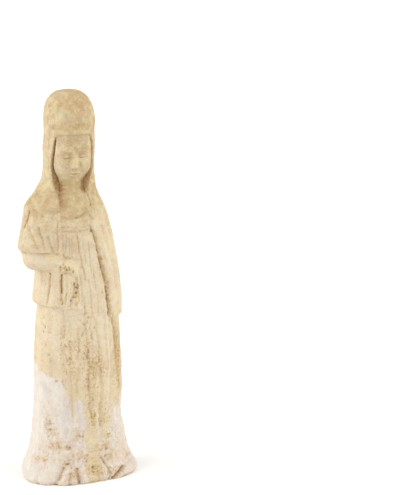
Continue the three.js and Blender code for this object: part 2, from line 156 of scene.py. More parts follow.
def face_relief(across, up):
    """Height of the features over the plain oval, and the earth held in their lines, which also serves as their
    painted shade: each is a Gaussian mound or hollow, placed from the middle of the chin by thirds of the face and by
    eye widths."""
    side = np.abs(across)

    def mound(from_middle, height, half_across, half_up):
        return np.exp(-(((side - from_middle) / half_across) ** 2) - ((up - height) / half_up) ** 2)

    nose_base = FACE_THIRD
    brow = 2 * FACE_THIRD
    mouth = 0.64 * FACE_THIRD
    eye = brow - 0.62 * EYE_WIDTH
    down_nose = np.clip((brow - up) / (brow - nose_base), 0, 1)
    nose_width = blend(0.95, 1.55, down_nose)
    nose_ends = smooth_step(up, nose_base - 0.8, nose_base + 0.7) * (1 - smooth_step(up, brow - 2, brow + 1.5))
    nose = blend(1.1, 3.1, down_nose**1.2) * nose_ends * np.exp(-((side / nose_width) ** 2))
    wings = 0.95 * mound(1.7, nose_base + 0.8, 0.75, 0.9) - 0.45 * mound(2.6, nose_base + 1, 0.5, 1.1)
    nostril = mound(0.95, nose_base - 0.2, 0.6, 0.4)
    socket = -1.35 * mound(0.9 * EYE_WIDTH, eye + 0.3, 0.66 * EYE_WIDTH, 1.9)
    lids = 1.15 * mound(EYE_WIDTH, eye, 0.44 * EYE_WIDTH, 1.05)
    lid_curve = eye - 0.55 + 0.07 * (side - EYE_WIDTH) ** 2
    lid_line = np.exp(-(((side - EYE_WIDTH) / 2) ** 4) - ((up - lid_curve) / 0.33) ** 2)
    crease_curve = eye + 1.15 - 0.1 * (side - EYE_WIDTH) ** 2
    crease = np.exp(-(((side - EYE_WIDTH) / 2) ** 4) - ((up - crease_curve) / 0.3) ** 2)
    brow_curve = brow + 0.5 - 0.06 * (side - 0.9 * EYE_WIDTH) ** 2
    brows = 0.5 * np.exp(-(((side - EYE_WIDTH) / 3.2) ** 4) - ((up - brow_curve) / 0.8) ** 2)
    upper_lip = 0.95 * mound(0.7, mouth + 0.75, 2, 0.65)
    lower_lip = 1.05 * mound(0, mouth - 0.8, 1.9, 0.75)
    mouth_curve = mouth + 0.04 * side**2
    mouth_line = np.exp(-((side / 2.8) ** 4) - ((up - mouth_curve) / 0.34) ** 2)
    corners = -0.4 * mound(2.9, mouth + 0.3, 0.6, 0.6)
    lip_groove = -0.25 * mound(0, mouth + 2, 0.5, 0.8)
    cheeks = 0.65 * mound(1.35 * EYE_WIDTH, nose_base, 3, 3.4)
    chin = 0.95 * mound(0, 1.9, 2.4, 1.8) - 0.6 * mound(0, mouth - 2.2, 2.2, 0.8)
    raised = nose + wings + lids + brows + upper_lip + lower_lip + cheeks + chin
    sunk = socket + corners + lip_groove - 0.5 * nostril - 0.65 * lid_line - 0.3 * crease - 0.7 * mouth_line
    # The lid, crease, mouth and nostril lines hold earth, and their darkness also serves as painted shade.
    earth = 0.85 * lid_line + 0.35 * crease + 0.75 * mouth_line + 0.6 * nostril
    return raised + sunk, earth


# The tall domed hood and the short open coat below it. Both are one layer of clay over the dress and the
# head, open in front, with a second small step where the hood's cloth ends over the shoulders.
CLOAK_POWER = 2.2
CLOAK = (
    (85, 22.4, 25.3, 17.4, 17.7),
    (97, 21.9, 25, 17.8, 17.1),
    (113, 20.3, 23.4, 17.2, 16.2),
    (121, 21.5, 22.1, 16.6, 15.9),
    (137.5, 24.9, 18.9, 14.7, 15.4),
    (144.5, 24.2, 16.9, 13.1, 15.2),
    (150, 20.9, 14.4, 11.7, 15),
    (155, 17.5, 12.6, 11.1, 15),
    (160.5, 14.5, 11.7, 11.1, 15.3),
    (165, 13.9, 11.4, 11.5, 15.6),
    (175, 13.5, 11.3, 13.1, 16.5),
    (183, 12.8, 11.5, 12.8, 16),
    (191, 13.2, 12.4, 12.6, 15.8),
)
DOME_FROM = 183
DOME_BLUNTNESS = 4.2
DOME_ROUNDNESS = 2.4
DOME_SHIFT = (0, 2)
OPENING_DEPTH = -3
COLLAR = {"height": 150.5, "half_height": 4, "melt": 2.2}
EDGE_ROUNDING = 1
DRAPE_THICKNESS = 0.5
DRAPE_ON_LEFT = 0.25
OPENING = (
    (87, -6.4, 16.1),
    (102, -7.3, 14.5),
    (113, -8.5, 11.9),
    (123, -9.4, 9.6),
    (130, -9.4, 8.6),
    (138.5, -9.4, 6.2),
    (147.5, -9.6, 5.8),
    (153.5, -10.5, 4.8),
    (160.5, -11, 6.3),
    (168, -11.5, 8.8),
    (178, -10.5, 9),
    (FACE_TOP, -9.5, 7.9),
)


def coat_hem(angle):
    """Height of the coat's hem: lower on her left than on her right."""
    return blend(87.6, 96.2, smooth_step(-np.sin(np.radians(angle)), -0.9, 0.5))


def drape_hem(angle):
    """Height where the cloth of the hood ends on the shoulders and the back."""
    return blend(139.5, 145, smooth_step(-np.sin(np.radians(angle)), -0.9, 0.7))


def dome(risen):
    """Share of its full reach that the hood keeps: (1 - risen^4.2)^(1/2.4)."""
    return (1 - risen**DOME_BLUNTNESS) ** (1 / DOME_ROUNDNESS)


def cloak(x, y, z, angle, level):
    """Distance outside the layer of hood and coat, cut by the opening in front and along the hem."""
    risen = level["risen"]
    reach = level["cloak"] * dome(risen)
    outside = outside_section(x - DOME_SHIFT[0] * risen, y - DOME_SHIFT[1] * risen, reach, CLOAK_POWER)
    minus_edge, plus_edge = level["opening"]
    beside_opening = np.maximum(minus_edge - x, x - plus_edge)
    outside_opening = smooth_cut(smooth_cut(beside_opening, z - FACE_TOP, 2.5), y - OPENING_DEPTH, 0.5)
    thickness = DRAPE_THICKNESS * blend(DRAPE_ON_LEFT, 1, smooth_step(-np.sin(np.radians(angle)), -0.7, 0.1))
    drape = thickness * smooth_step(z - drape_hem(angle), -0.5, 0.5) * (1 - risen)
    opened = smooth_cut(outside - drape, -outside_opening, EDGE_ROUNDING)
    return smooth_cut(opened, coat_hem(angle) - z, 0.8)


# Her right arm, bent across the waist: a wide sleeve that ends above the bare forearm, and a small fist
# that holds the front of the coat, which hangs from it in a narrow gather. All were pressed with the front.
SHOULDER = (-15.6, 0.5, 143.5)
SLEEVE_END = (-20.2, -5, 124.5)
SLEEVE_RADII = (9.2, 10)
INSIDE_SLEEVE = (-22.8, -6, 126)
ELBOW = (-21.6, -7, 121.4)
FIST = (-5, -15.4, 116.9)
UPPER_ARM_RADII = (5.9, 6.3)
FOREARM_RADII = (6.3, 3.2)
GATHER_TOP = (-4.6, -13.9, 115)
GATHER_END = (-5.2, -13.2, 94)
GATHER_RADII = (3.6, 4.7)
GATHER_HEM = 95.4


def cuff_hem(angle):
    """Height of the sleeve's lower edge, which drops along the forearm towards the fist."""
    outwards = smooth_step(-angle, 37, 85)
    along_forearm = smooth_step(angle, -37, -8)
    return 124.9 + 1.2 * outwards - 5 * along_forearm


def outside_taper(point, start, end, radii):
    """How far a point lies outside a rounded rod: its distance to the nearest point of the middle line,
    less a radius that changes evenly from start to end."""
    along = [b - a for a, b in zip(start, end)]
    away = [value - a for value, a in zip(point, start)]
    length_squared = sum(value * value for value in along)
    t = np.clip(sum(a * b for a, b in zip(away, along)) / length_squared, 0, 1)
    gap = np.sqrt(sum((a - t * b) ** 2 for a, b in zip(away, along)))
    return gap - blend(radii[0], radii[1], t)


def clay(x, y, z, angle, level):
    """Distance outside the whole figure: below zero in the clay, above zero in the air."""
    point = (x, y, z)
    body = smooth_union(dress(x, y, z, level), head(x, y, z), 2.2)
    at_collar = np.exp(-(((z - COLLAR["height"]) / COLLAR["half_height"]) ** 2))
    clothed = smooth_union(body, cloak(x, y, z, angle, level), 0.4 + COLLAR["melt"] * at_collar)
    upper_arm = outside_taper(point, INSIDE_SLEEVE, ELBOW, UPPER_ARM_RADII)
    forearm = outside_taper(point, ELBOW, FIST, FOREARM_RADII)
    gather = smooth_cut(outside_taper(point, GATHER_TOP, GATHER_END, GATHER_RADII), GATHER_HEM - z, 0.8)
    arm = smooth_union(smooth_union(upper_arm, forearm, 1), gather, 0.6)
    sleeve = smooth_cut(outside_taper(point, SHOULDER, SLEEVE_END, SLEEVE_RADII), cuff_hem(angle) - z, 0.8)
    return smooth_union(smooth_union(clothed, arm, 1.4), sleeve, 2.4)


# The folds, pleats and creases that the mould and a pointed tool left in the wet clay. Each is its depth
# and half width, how much brown earth it holds, then its path over the surface as angle and height; a
# raised one has a positive depth.
SLEEVE_FOLDS = (
    (-0.75, 0.55, 0.45, (-61.8, 137.4), (-58.8, 134.6), (-55.4, 131), (-51.3, 126)),
    (0.8, 0.75, 0, (-57.5, 138), (-53, 132), (-48.6, 126)),
    (-0.5, 0.75, 0.3, (-50.5, 132.8), (-48.8, 129.5), (-46.8, 125.8)),
    (0.6, 0.8, 0, (-48, 135), (-46, 130), (-43.5, 126)),
    (-0.8, 0.7, 0.35, (-70, 136), (-63, 131.5), (-56.5, 127.3)),
    (0.5, 1.1, 0, (-73, 133), (-66, 128.5)),
    (-0.4, 0.7, 0.1, (-66, 141), (-67, 137)),
    (-0.5, 0.6, 0.45, (-39.5, 140.3), (-38.3, 135), (-38.3, 130), (-39.5, 126)),
    (-0.25, 0.35, 0.2, (-44.5, 133), (-42.5, 127)),
    (-0.9, 0.55, 0.9, (-77, 145), (-77.5, 140.5), (-78.5, 137)),
    (-0.5, 0.9, 0.2, (-78.5, 137), (-79, 129)),
    (-0.4, 1, 0.2, (-87, 141), (-85, 131)),
    (-0.1, 1.1, 0.35, (-78, 125.8), (-60, 125.2), (-45, 124.5), (-40, 123.9)),
    (-0.2, 0.9, 0.2, (-40, 123.7), (-33, 122.3), (-29, 121.6)),
    (-0.35, 0.6, 0.35, (-72, 146), (-62, 145.6), (-50, 145.2), (-41, 144.8)),
    (-0.3, 0.6, 0.35, (-41.5, 144.5), (-41, 150)),
    (-0.7, 1.3, 0.1, (68, 147), (65, 140), (64, 133), (68, 126), (73, 121)),
    (-0.7, 1.2, 0.1, (60, 122), (59, 112), (59.5, 103)),
    (-0.5, 1, 0.1, (47, 136), (52, 124), (55, 116)),
    (-0.5, 1, 0.1, (76, 138), (80, 124), (80, 108)),
    (-0.4, 0.8, 0.1, (68, 112), (69, 96)),
)
COAT_EDGE = ((26, 135.7), (30, 132), (32, 128), (35, 121), (38, 116.5), (44.5, 105), (49, 90))
COAT_FOLDS = (
    (-0.45, 0.6, 0.6, (-51, 113.4), (-52, 108), (-53.5, 103), (-55, 98)),
    (-0.7, 0.55, 0.8, (-34, 113.4), (-34, 104)),
    (-0.4, 0.55, 0.6, (-34, 104), (-33.5, 101), (-33, 98)),
    (0.4, 0.9, 0, (-38.5, 113), (-38.5, 98.5)),
    (-0.3, 0.35, 0.3, (-31.5, 112), (-31, 99)),
    (0.4, 1.6, 0, (-45, 113), (-46, 98)),
    (-0.3, 0.8, 0.1, (-66, 113), (-68, 99)),
    (-0.25, 0.4, 0.7, *COAT_EDGE[:4]),
    (-0.45, 0.8, 0.75, *COAT_EDGE[3:]),
    (-0.35, 0.4, 0.6, (28, 135), (32.5, 132), (34.5, 127.5), (36, 124)),
    (0.3, 0.5, 0, (30, 120), (33.5, 114), (40, 103), (44, 91)),
    (0.5, 0.8, 0, (33, 134), (39.5, 123), (47, 110), (54, 95)),
    (-0.3, 0.35, 0.35, (42, 124), (49, 109), (54, 99)),
    (-0.25, 0.3, 0.25, (38, 131), (44, 119)),
    (-0.25, 0.35, 0.25, (57, 118), (60, 104)),
    (-0.4, 1.3, 0.1, (-50, 158), (-47, 152), (-46, 146.5)),
    (-0.35, 1.6, 0, (-72, 158), (-66, 150)),
    (-0.3, 1.6, 0.1, (50, 160), (52, 152), (58, 147)),
    (-0.3, 0.5, 0.9, (26, 156), (26.5, 153), (28.5, 150), (30, 147.5)),
    (-0.2, 0.35, 0.3, (34, 144.2), (36.6, 142.6), (35.8, 141.2)),
    (-0.25, 0.4, 0.75, (25.8, 142.4), (28, 141), (32.5, 140.3)),
    (-0.15, 0.5, 0.4, (30, 147.5), (29, 143), (26, 136.5)),
    (-0.35, 0.5, 0.5, (21, 144.4), (29, 144.2)),
    (-0.3, 0.45, 0.6, (-47, 182.4), (-43, 183.1), (-37, 183.5), (-29, 183.8), (-15, 184), (0, 184.2)),
    (-0.3, 0.45, 0.6, (0, 184.2), (15, 184), (30, 183.6), (40, 182.8)),
)
DRESS_FOLDS = (
    (-0.4, 0.9, 0.35, (-36, 142.6), (-24, 141.5), (-13, 141.3), (0, 141.8), (11, 143.2), (18, 144.8)),
    (-0.15, 0.8, 0.6, (-6, 141.6), (4, 142.3), (15, 143.8)),
    (0.3, 0.9, 0, (-36, 139.4), (-13, 139.2), (12, 140.6)),
    (-0.3, 0.35, 0.35, (-36, 137.2), (-12, 136.8), (12, 137), (23, 137.4)),
    (0.3, 0.5, 0, (-35, 136.2), (-12, 135.9), (22, 136.4)),
    (-0.35, 0.35, 0.4, (-36, 135.2), (-12, 134.8), (12, 135), (23, 135.6)),
    (-0.35, 0.35, 0.35, (-21, 131), (-21, 126), (-21.3, 123.2)),
    (-0.25, 0.3, 0.3, (-16.5, 132.6), (-16, 122)),
    (-0.2, 0.3, 0.15, (-12.5, 132), (-12, 124)),
    (-0.3, 0.35, 0.15, (-27, 133.5), (-28, 124)),
    (-0.2, 0.3, 0.15, (-23, 132), (-23.5, 124)),
    (-0.4, 0.45, 0.45, (-5, 132.5), (-3, 127), (-1, 122.8), (1.5, 118.5), (4, 115), (8, 109.5)),
    (0.35, 0.7, 0, (-1, 132), (0.5, 123), (5, 115)),
    (-0.2, 0.3, 0.2, (-9, 132), (-7, 124)),
    (-0.25, 0.35, 0.2, (5, 129), (8, 118)),
    (-0.3, 0.35, 0.25, (16, 129), (17, 122), (19, 113)),
    (0.3, 1.6, 0, (7, 130), (12, 112)),
    (-0.3, 0.4, 0.2, (13, 110), (16, 100), (17, 91)),
    (-0.3, 0.35, 0.25, (24, 112), (28, 100), (30, 90)),
    (-0.25, 0.3, 0.2, (28, 109), (32, 98)),
    (-0.2, 0.3, 0.2, (21, 118), (26, 105)),
    (-0.3, 0.5, 0.1, (3, 101), (5, 92)),
)
KNUCKLES = ((-38, 118.2), (-31, 117.2), (-25, 116.4), (-19, 116.8), (-14, 115.8))
GATHER_EDGE = ((-12, 111.5), (-8, 108), (-9, 105.4), (-12, 102), (-12, 98), (-10, 95.5))
GATHER_FOLDS = (
    (0.9, 0.7, 0, (-17, 111), (-18.5, 107), (-19.5, 104.5), (-23, 101.5), (-24, 97.6)),
    (-0.45, 0.7, 0.15, (-13.5, 108.5), (-15, 105), (-19, 101.3), (-20.5, 98)),
    (-0.45, 0.4, 0.35, (-25.8, 104), (-26.6, 98)),
    (-0.4, 0.6, 0.25, *GATHER_EDGE),
    (0.6, 0.6, 0, (-9, 114), (-5.5, 110.5), (-4, 106), (-4, 102), (-6, 99)),
    (-0.25, 0.5, 0.15, (-6, 114.5), (-2.5, 111), (-1.2, 106), (-1.2, 101)),
    (0.5, 0.7, 0, (-27, 112), (-26.5, 105)),
    (-0.4, 0.6, 0.2, (-36, 114.8), (-27, 114.2), (-18, 113.8)),
    (-0.35, 0.4, 0.3, (-17.5, 98.6), (-9, 98.2)),
    (0.5, 0.7, 0, (-29, 118.4), (-28, 115.6)),
    (0.55, 0.7, 0, (-22, 118.2), (-21.5, 115.2)),
    (0.45, 0.6, 0, (-16, 117.6), (-16, 115)),
)
SKIRT_PLEAT = ((4, 96), (6, 85.7), (8, 77.6), (9, 69.4), (10, 55.8), (12, 44.7), (16, 33.1))
SIDE_GROOVE = ((51, 90), (58.5, 83), (60.5, 72), (62.5, 66), (66, 56), (68, 48))
SKIRT_FOLDS = (
    (-0.45, 1, 0.1, (-32, 94), (-31, 80), (-33, 56)),
    (-0.45, 0.8, 0.15, (-23, 88), (-22.5, 70), (-24, 55), (-22, 36)),
    (-0.3, 0.6, 0.25, *SKIRT_PLEAT[:4]),
    (-0.35, 0.8, 0.3, *SKIRT_PLEAT[3:]),
    (0.3, 0.8, 0, (11, 92), (13, 75)),
    (-0.3, 0.7, 0.1, (14, 90), (18, 70), (19, 52)),
    (-0.35, 0.7, 0.15, (-8, 84), (-9, 66), (-12, 50)),
    (-0.5, 0.9, 0.2, (25, 88), (30, 72), (33, 56), (34, 44), (33, 30)),
    (-0.3, 0.5, 0.15, (20, 90), (24, 72), (25, 58)),
    (-0.8, 1.4, 0.6, *SIDE_GROOVE),
    (-0.3, 0.35, 0.2, (40, 92), (45, 60)),
    (0.25, 0.5, 0, (43, 92), (48, 60)),
    (-0.4, 1, 0.1, (48, 86), (51, 60), (48, 40)),
    (0.5, 2.2, 0, (20, 60), (24, 40), (24, 22)),
    (-0.35, 1.8, 0, (-52, 88), (-50, 60)),
    (-0.5, 2.2, 0, (-56, 52), (-52, 26)),
    (0.6, 2.4, 0, (-36, 48), (-34, 24)),
    (-0.6, 1.6, 0, (-14, 56), (-11, 26)),
    (-0.7, 1.3, 0.15, (30, 42), (29, 22)),
    (-0.5, 1.5, 0, (58, 42), (64, 30)),
)
HEM_CREASES = (
    (-1.3, 1.5, 0.35, (-48, 0), (-41, 4.3), (-37, 8.9)),
    (0.8, 2.2, 0, (-31, 1), (-32, 6)),
    (-0.8, 0.9, 0.3, (-27, 0), (-26, 3), (-27, 6)),
    (0.6, 1.6, 0, (-20, 1), (-21, 6)),
    (-1.2, 1.1, 0.45, (-11.5, 0), (-12, 2.4), (-15, 8)),
    (0.5, 2, 0, (-4, 1), (-4, 6)),
    (-0.8, 0.8, 0.5, (38, 0), (39, 4), (36, 8), (30, 12.5)),
    (-1.2, 0.9, 0.9, (43, 1), (48, 3), (56, 5.5)),
    (0.8, 1.2, 0, (48, 0.5), (60, 2.6)),
    (-0.6, 1.2, 0.3, (22, 0), (21, 5)),
    (-0.6, 1.4, 0.1, (-66, 1), (-64, 7)),
)
BACK_FLUTES = {"start": 92, "end": 268, "count": 7, "top": 80, "bottom": 14, "depth": -1, "half_width": 3}
BACK_DRAPES = {"start": 140, "end": 220, "count": 3, "top": 134, "bottom": 99, "depth": -0.7, "half_width": 2.6}
RIM_HEIGHT = 0.22
RIM_PLACE = 1.9
EARTH_SPREAD = 1.35
FOLD_WANDER = 0.32


def even_folds(start, end, count, top, bottom, depth, half_width):
    """Upright folds at equal angles round the back."""
    return tuple((depth, half_width, 0, (angle, top), (angle, bottom)) for angle in np.linspace(start, end, count))


FOLDS = SLEEVE_FOLDS + COAT_FOLDS + DRESS_FOLDS + GATHER_FOLDS + SKIRT_FOLDS + HEM_CREASES
FOLDS += even_folds(**BACK_FLUTES) + even_folds(**BACK_DRAPES)


def distance_to_path(path, angle, z, reach):
    """Distance over the surface, millimetres, from each point to the nearest stretch of a path."""
    nearest = np.full(angle.shape, 1000.0)
    for (start_angle, start_z), (end_angle, end_z) in zip(path, path[1:]):
        start_across = np.radians((start_angle - angle + 180) % 360 - 180) * reach
        start_up = start_z - z
        across = math.radians(end_angle - start_angle) * reach
        up = end_z - start_z
        t = np.clip(-(start_across * across + start_up * up) / (across**2 + up**2), 0, 1)
        nearest = np.minimum(nearest, np.hypot(start_across + t * across, start_up + t * up))
    return nearest


def pressed_folds(angle, z, reach):
    """Relief and earth of all folds. Each is depth * exp(-(d/w)^2), with a share of it pushed up as a rim on
    both sides of a sunken one; the earth in it falls off in the same way, and the strongest counts."""
    relief = np.zeros(angle.shape)
    earth = np.zeros(angle.shape)
    for depth, half_width, held, *path in FOLDS:
        d = distance_to_path(path, angle, z, reach) / half_width
        rim = RIM_HEIGHT * np.exp(-((d - RIM_PLACE) ** 2)) if depth < 0 else 0
        relief += depth * (np.exp(-(d**2)) - rim)
        earth = np.maximum(earth, held * np.exp(-((d / EARTH_SPREAD) ** 2)))
    return relief, earth


# How the clay was handled and has worn: soft lumps from pressing, a rougher and chipped foot, pits where
# grains fell out, and the white slip, which lies a little proud where it still holds.
LATTICE = 32
WORN = {
    "press": {"size": 12, "height": 0.5, "seed": 11},
    "thumb": {"size": 5, "height": 0.26, "seed": 12},
    "grain": {"size": 2, "height": 0.1, "seed": 13},
}


def lumps(x, y, z, size, seed):
    """Smooth random field from -1 to 1: random values on a cubic lattice, mixed by 3t2 - 2t3 along each axis."""
    lattice = np.random.default_rng(seed).uniform(-1, 1, (LATTICE,) * 3)
    place = np.stack([x, y, z]) / size + LATTICE
    cell = np.floor(place).astype(int)
    t = place - cell
    t = t * t * (3 - 2 * t)
    total = 0
    for corner in itertools.product((0, 1), repeat=3):
        weight = 1
        for axis, step in enumerate(corner):
            weight = weight * (t[axis] if step else 1 - t[axis])
        i, j, k = [(cell[axis] + step) % LATTICE for axis, step in enumerate(corner)]
        total = total + weight * lattice[i, j, k]
    return total


def patches(places, angle, z, reach):
    """Soft spots round named places, each an angle, a height, two half sizes and a strength: the strongest counts."""
    strength = np.zeros(angle.shape)
    for spot_angle, spot_z, half_across, half_up, amount in places:
        across = np.radians((spot_angle - angle + 180) % 360 - 180) * reach / half_across
        up = (spot_z - z) / half_up
        strength = np.maximum(strength, amount * np.exp(-(across**2) - up**2))
    return strength


PITTED = (
    (-12, 106, 2.6, 7, 0.8),
    (-20, 116, 6, 2.2, 0.6),
    (-17, 97, 3.5, 2.5, 0.6),
    (8, 66, 9, 14, 0.5),
    (18, 60, 9, 18, 0.4),
    (-8, 76, 8, 12, 0.4),
    (-30, 11, 9, 8, 0.8),
    (12, 8, 5, 5, 0.7),
    (50, 5, 12, 6, 0.9),
    (36, 15, 7, 9, 0.8),
    (-47, 22, 7, 10, 0.5),
    (-20, 6, 6, 7, 0.9),
)
CHIPS = (
    (-39, 118.3, 0.9, 0.6, 0.5),
    (-25, 116.3, 0.8, 0.55, 1),
    (0, 99.1, 0.4, 0.8, 0.5),
    (-14, 108.4, 0.6, 0.9, 1),
    (-11, 106.4, 1, 0.7, 1.2),
    (-11.5, 103.6, 0.8, 0.9, 1.2),
    (-15, 101.5, 0.9, 0.7, 1.1),
    (-20, 99.8, 0.6, 0.4, 0.9),
    (-28, 117, 0.7, 0.6, 1.1),
    (-34, 117.6, 0.7, 0.8, 0.9),
    (13, 97.3, 0.5, 0.6, 0.4),
    (16, 95.2, 0.5, 0.4, 0.6),
    (24, 134.4, 0.7, 0.8, 0.8),
    (21, 133, 0.8, 0.35, 0.5),
    (-30.5, 11.4, 1.5, 0.8, 1.1),
    (-32, 19, 0.5, 0.6, 0.5),
    (13, 8, 1, 1.1, 1),
    (-28, 19.8, 0.8, 0.9, 0.8),
    (-57, 29.7, 0.6, 0.6, 0.8),
    (-61, 31.5, 0.4, 0.5, 0.5),
    (-44, 27.5, 0.6, 0.6, 0.6),
    (-46, 56.2, 0.9, 0.6, 0.9),
    (-44, 69.4, 0.4, 0.4, 0.5),
    (-60, 74.3, 0.35, 0.4, 0.4),
    (-60, 70.5, 0.35, 0.4, 0.4),
    (-67, 89.4, 0.45, 1.1, 0.6),
    (-50, 72, 0.35, 0.35, 0.4),
    (16, 79.9, 0.55, 0.4, 0.8),
    (-33, 83.3, 0.4, 0.5, 0.5),
    (27, 48.2, 0.6, 0.6, 0.6),
    (11, 50.3, 0.5, 0.6, 0.5),
    (12, 54.7, 0.6, 0.5, 0.5),
    (2, 12, 0.6, 0.6, 0.6),
    (-1, 9.6, 0.5, 0.5, 0.5),
    (40, 17, 0.8, 0.8, 0.8),
    (36, 13, 0.9, 0.7, 0.7),
    (44, 12, 0.6, 0.8, 0.7),
    (31, 33, 0.7, 0.6, 0.5),
    (72, 9.5, 0.5, 1.4, 0.6),
    (-74, 104, 0.6, 0.5, 0.4),
    (27, 155.4, 0.8, 2.1, 0.8),
    (-40, 198, 0.5, 0.4, 0.4),
    (-43, 172, 0.4, 0.5, 0.4),
    (-52, 188, 0.4, 0.6, 0.6),
    (30, 192, 0.5, 0.5, 0.4),
    (20, 196, 0.5, 0.4, 0.5),
    (5, 199, 0.4, 0.4, 0.5),
    (14, 201, 0.5, 0.4, 0.5),
)
CRUMBLED = (
    {"path": COAT_EDGE, "count": 26, "scatter": (1, 0.6), "size": 0.8, "amount": 0.9, "seed": 31},
    {"path": KNUCKLES, "count": 18, "scatter": (0.8, 0.9), "size": 0.8, "amount": 1.25, "seed": 32},
    {"path": GATHER_EDGE, "count": 14, "scatter": (2, 0.7), "size": 0.7, "amount": 1, "seed": 33},
    {"path": SKIRT_PLEAT, "count": 34, "scatter": (1.4, 1), "size": 0.5, "amount": 0.5, "seed": 34},
    {"path": SIDE_GROOVE, "count": 24, "scatter": (1.6, 1), "size": 0.65, "amount": 0.6, "seed": 35},
    {"path": ((-66, 91), (-60, 70)), "count": 16, "scatter": (9, 5), "size": 1, "amount": 0.85, "seed": 36},
    {"path": ((-62, 196), (-60, 185)), "count": 8, "scatter": (8, 3), "size": 1, "amount": 0.75, "seed": 37},
    {"path": ((-72, 154), (-72, 143)), "count": 12, "scatter": (9, 4), "size": 1, "amount": 0.7, "seed": 38},
    {"path": ((-2, 92), (12, 84), (14, 50)), "count": 16, "scatter": (9, 4), "size": 1, "amount": 0.85, "seed": 39},
)


def crumbs_along(path, count, scatter, size, amount, seed):
    """Chips at random places of a path: even chances along it, a normal scatter in degrees and millimetres
    round it, and half sizes and strengths between 0.4 times and the whole of those given."""
    chance = np.random.default_rng(seed)
    at = chance.uniform(0, len(path) - 1, count)
    middles = [np.interp(at, np.arange(len(path)), column) for column in zip(*path)]
    angles, heights = [middle + chance.normal(0, spread, count) for middle, spread in zip(middles, scatter)]
    shares = chance.uniform(0.4, 1, (3, count))
    return tuple(zip(angles, heights, size * shares[0], size * shares[1], amount * shares[2]))


ALL_CHIPS = CHIPS + sum((crumbs_along(**edge) for edge in CRUMBLED), ())
BRUSHED = {"size": 1.3, "stretch": 9, "height": 0.09, "seed": 17}


def worn_relief(x, y, z, angle, reach):
    """Lumps of three sizes, larger towards the foot, fine upright ridges on the cloth below the shoulders,
    less sharp pits where a field passes its threshold and less the named chips."""
    foot = 1 - smooth_step(z, 4, 34)
    face = smooth_step(z, CHIN_HEIGHT - 4, CHIN_HEIGHT) * (1 - smooth_step(z, FACE_TOP - 2, FACE_TOP + 2))
    smooth_face = face * (np.cos(np.radians(angle)) > 0.4)
    relief = 0
    for lump in WORN.values():
        grown = 1 + 1.3 * foot if lump["size"] < 10 else 1
        relief = relief + lump["height"] * grown * lumps(x, y, z, lump["size"], lump["seed"])
    cloth = smooth_step(z, 34, 50) * (1 - smooth_step(z, 118, 134))
    ridges = lumps(x, y, z / BRUSHED["stretch"], BRUSHED["size"], BRUSHED["seed"])
    relief = relief + BRUSHED["height"] * cloth * ridges
    pitted = np.maximum(patches(PITTED, angle, z, reach), 0.5 * foot)
    pit_field = lumps(x, y, z, 1.5, 14) + 0.35 * lumps(x, y, z, 3.4, 15)
    pits = smooth_step(pit_field, 1.15 - 0.85 * pitted, 1.45 - 0.75 * pitted)
    chipped = patches(ALL_CHIPS, angle, z, reach)
    return relief * (1 - 0.75 * smooth_face) - (0.55 * pits + 0.8 * chipped) * (1 - smooth_face)


# The surface of the figure, worked out as one closed skin. Columns run round it and follow the edges of
# the opening, rows run between the hems, and each point lies where a level ray from the axis leaves the clay.
FARTHEST_REACH = 42
FACE_CUT = {"depth": (2, 1.3), "middle": 2.6, "half_width": 2.2, "start": 155, "full": 170}
SIDE_ANGLE = 100
EDGE_HALF_ANGLE = 1.8
CUT_END_ANGLE = 6
COLUMNS = {"back": 30, "minus_side": 66, "edge": 4, "cut": 5, "front": 60, "plus_side": 50}
STEP_HALF_HEIGHT = 0.4


def levels(z):
    """All tables read once at the heights of the points."""
    return {
        "dress": read_stations(DRESS, z),
        "cloak": read_stations(CLOAK, z),
        "opening": read_stations(OPENING, z),
        "risen": np.clip((z - DOME_FROM) / (HEIGHT - DOME_FROM), 0, 0.9999),
    }


def reach_along(angle, z, level):
    """Distance from the axis to the outermost clay: walks inwards by millimetres until it meets clay,
    then halves the last step fourteen times."""
    out_x = np.sin(np.radians(angle))
    out_y = -np.cos(np.radians(angle))

    def in_air(reach):
        return clay(out_x * reach, out_y * reach, z, angle, level) > 0

    outer = np.full(angle.shape, float(FARTHEST_REACH))
    searching = np.ones(angle.shape, bool)
    for step in range(FARTHEST_REACH - 1):
        searching &= in_air(outer - 1)
        if not searching.any():
            break
        outer = np.where(searching, outer - 1, outer)
    inner = outer - 1
    for halving in range(14):
        middle = (inner + outer) / 2
        air = in_air(middle)
        outer = np.where(air, middle, outer)
        inner = np.where(air, inner, middle)
    return (inner + outer) / 2


def edge_angles(z):
    """Angles of the two edges of the opening where they meet the curve of the cloak."""
    to_minus_x, to_plus_x, to_front, _ = read_stations(CLOAK, z)
    angles = []
    for x, reach in zip(read_stations(OPENING, z), (to_minus_x, to_plus_x)):
        corner = x + np.sign(x) * EDGE_ROUNDING / 2
        y = to_front * (1 - (np.abs(corner) / reach) ** CLOAK_POWER) ** (1 / CLOAK_POWER)
        angles.append(np.degrees(np.arctan2(corner, y)))
    return angles


def face_cut(angle, z):
    """Depth of the cut between the face and the edge of the hood, deeper on her right; it fades out below."""
    minus_edge, plus_edge = edge_angles(z)
    inside = np.minimum(angle - minus_edge, plus_edge - angle)
    along = smooth_step(z, FACE_CUT["start"], FACE_CUT["full"]) * (1 - smooth_step(z, FACE_TOP - 5, FACE_TOP))
    depth = np.where(angle < 0, *FACE_CUT["depth"])
    return depth * along * np.exp(-(((inside - FACE_CUT["middle"]) / FACE_CUT["half_width"]) ** 2))


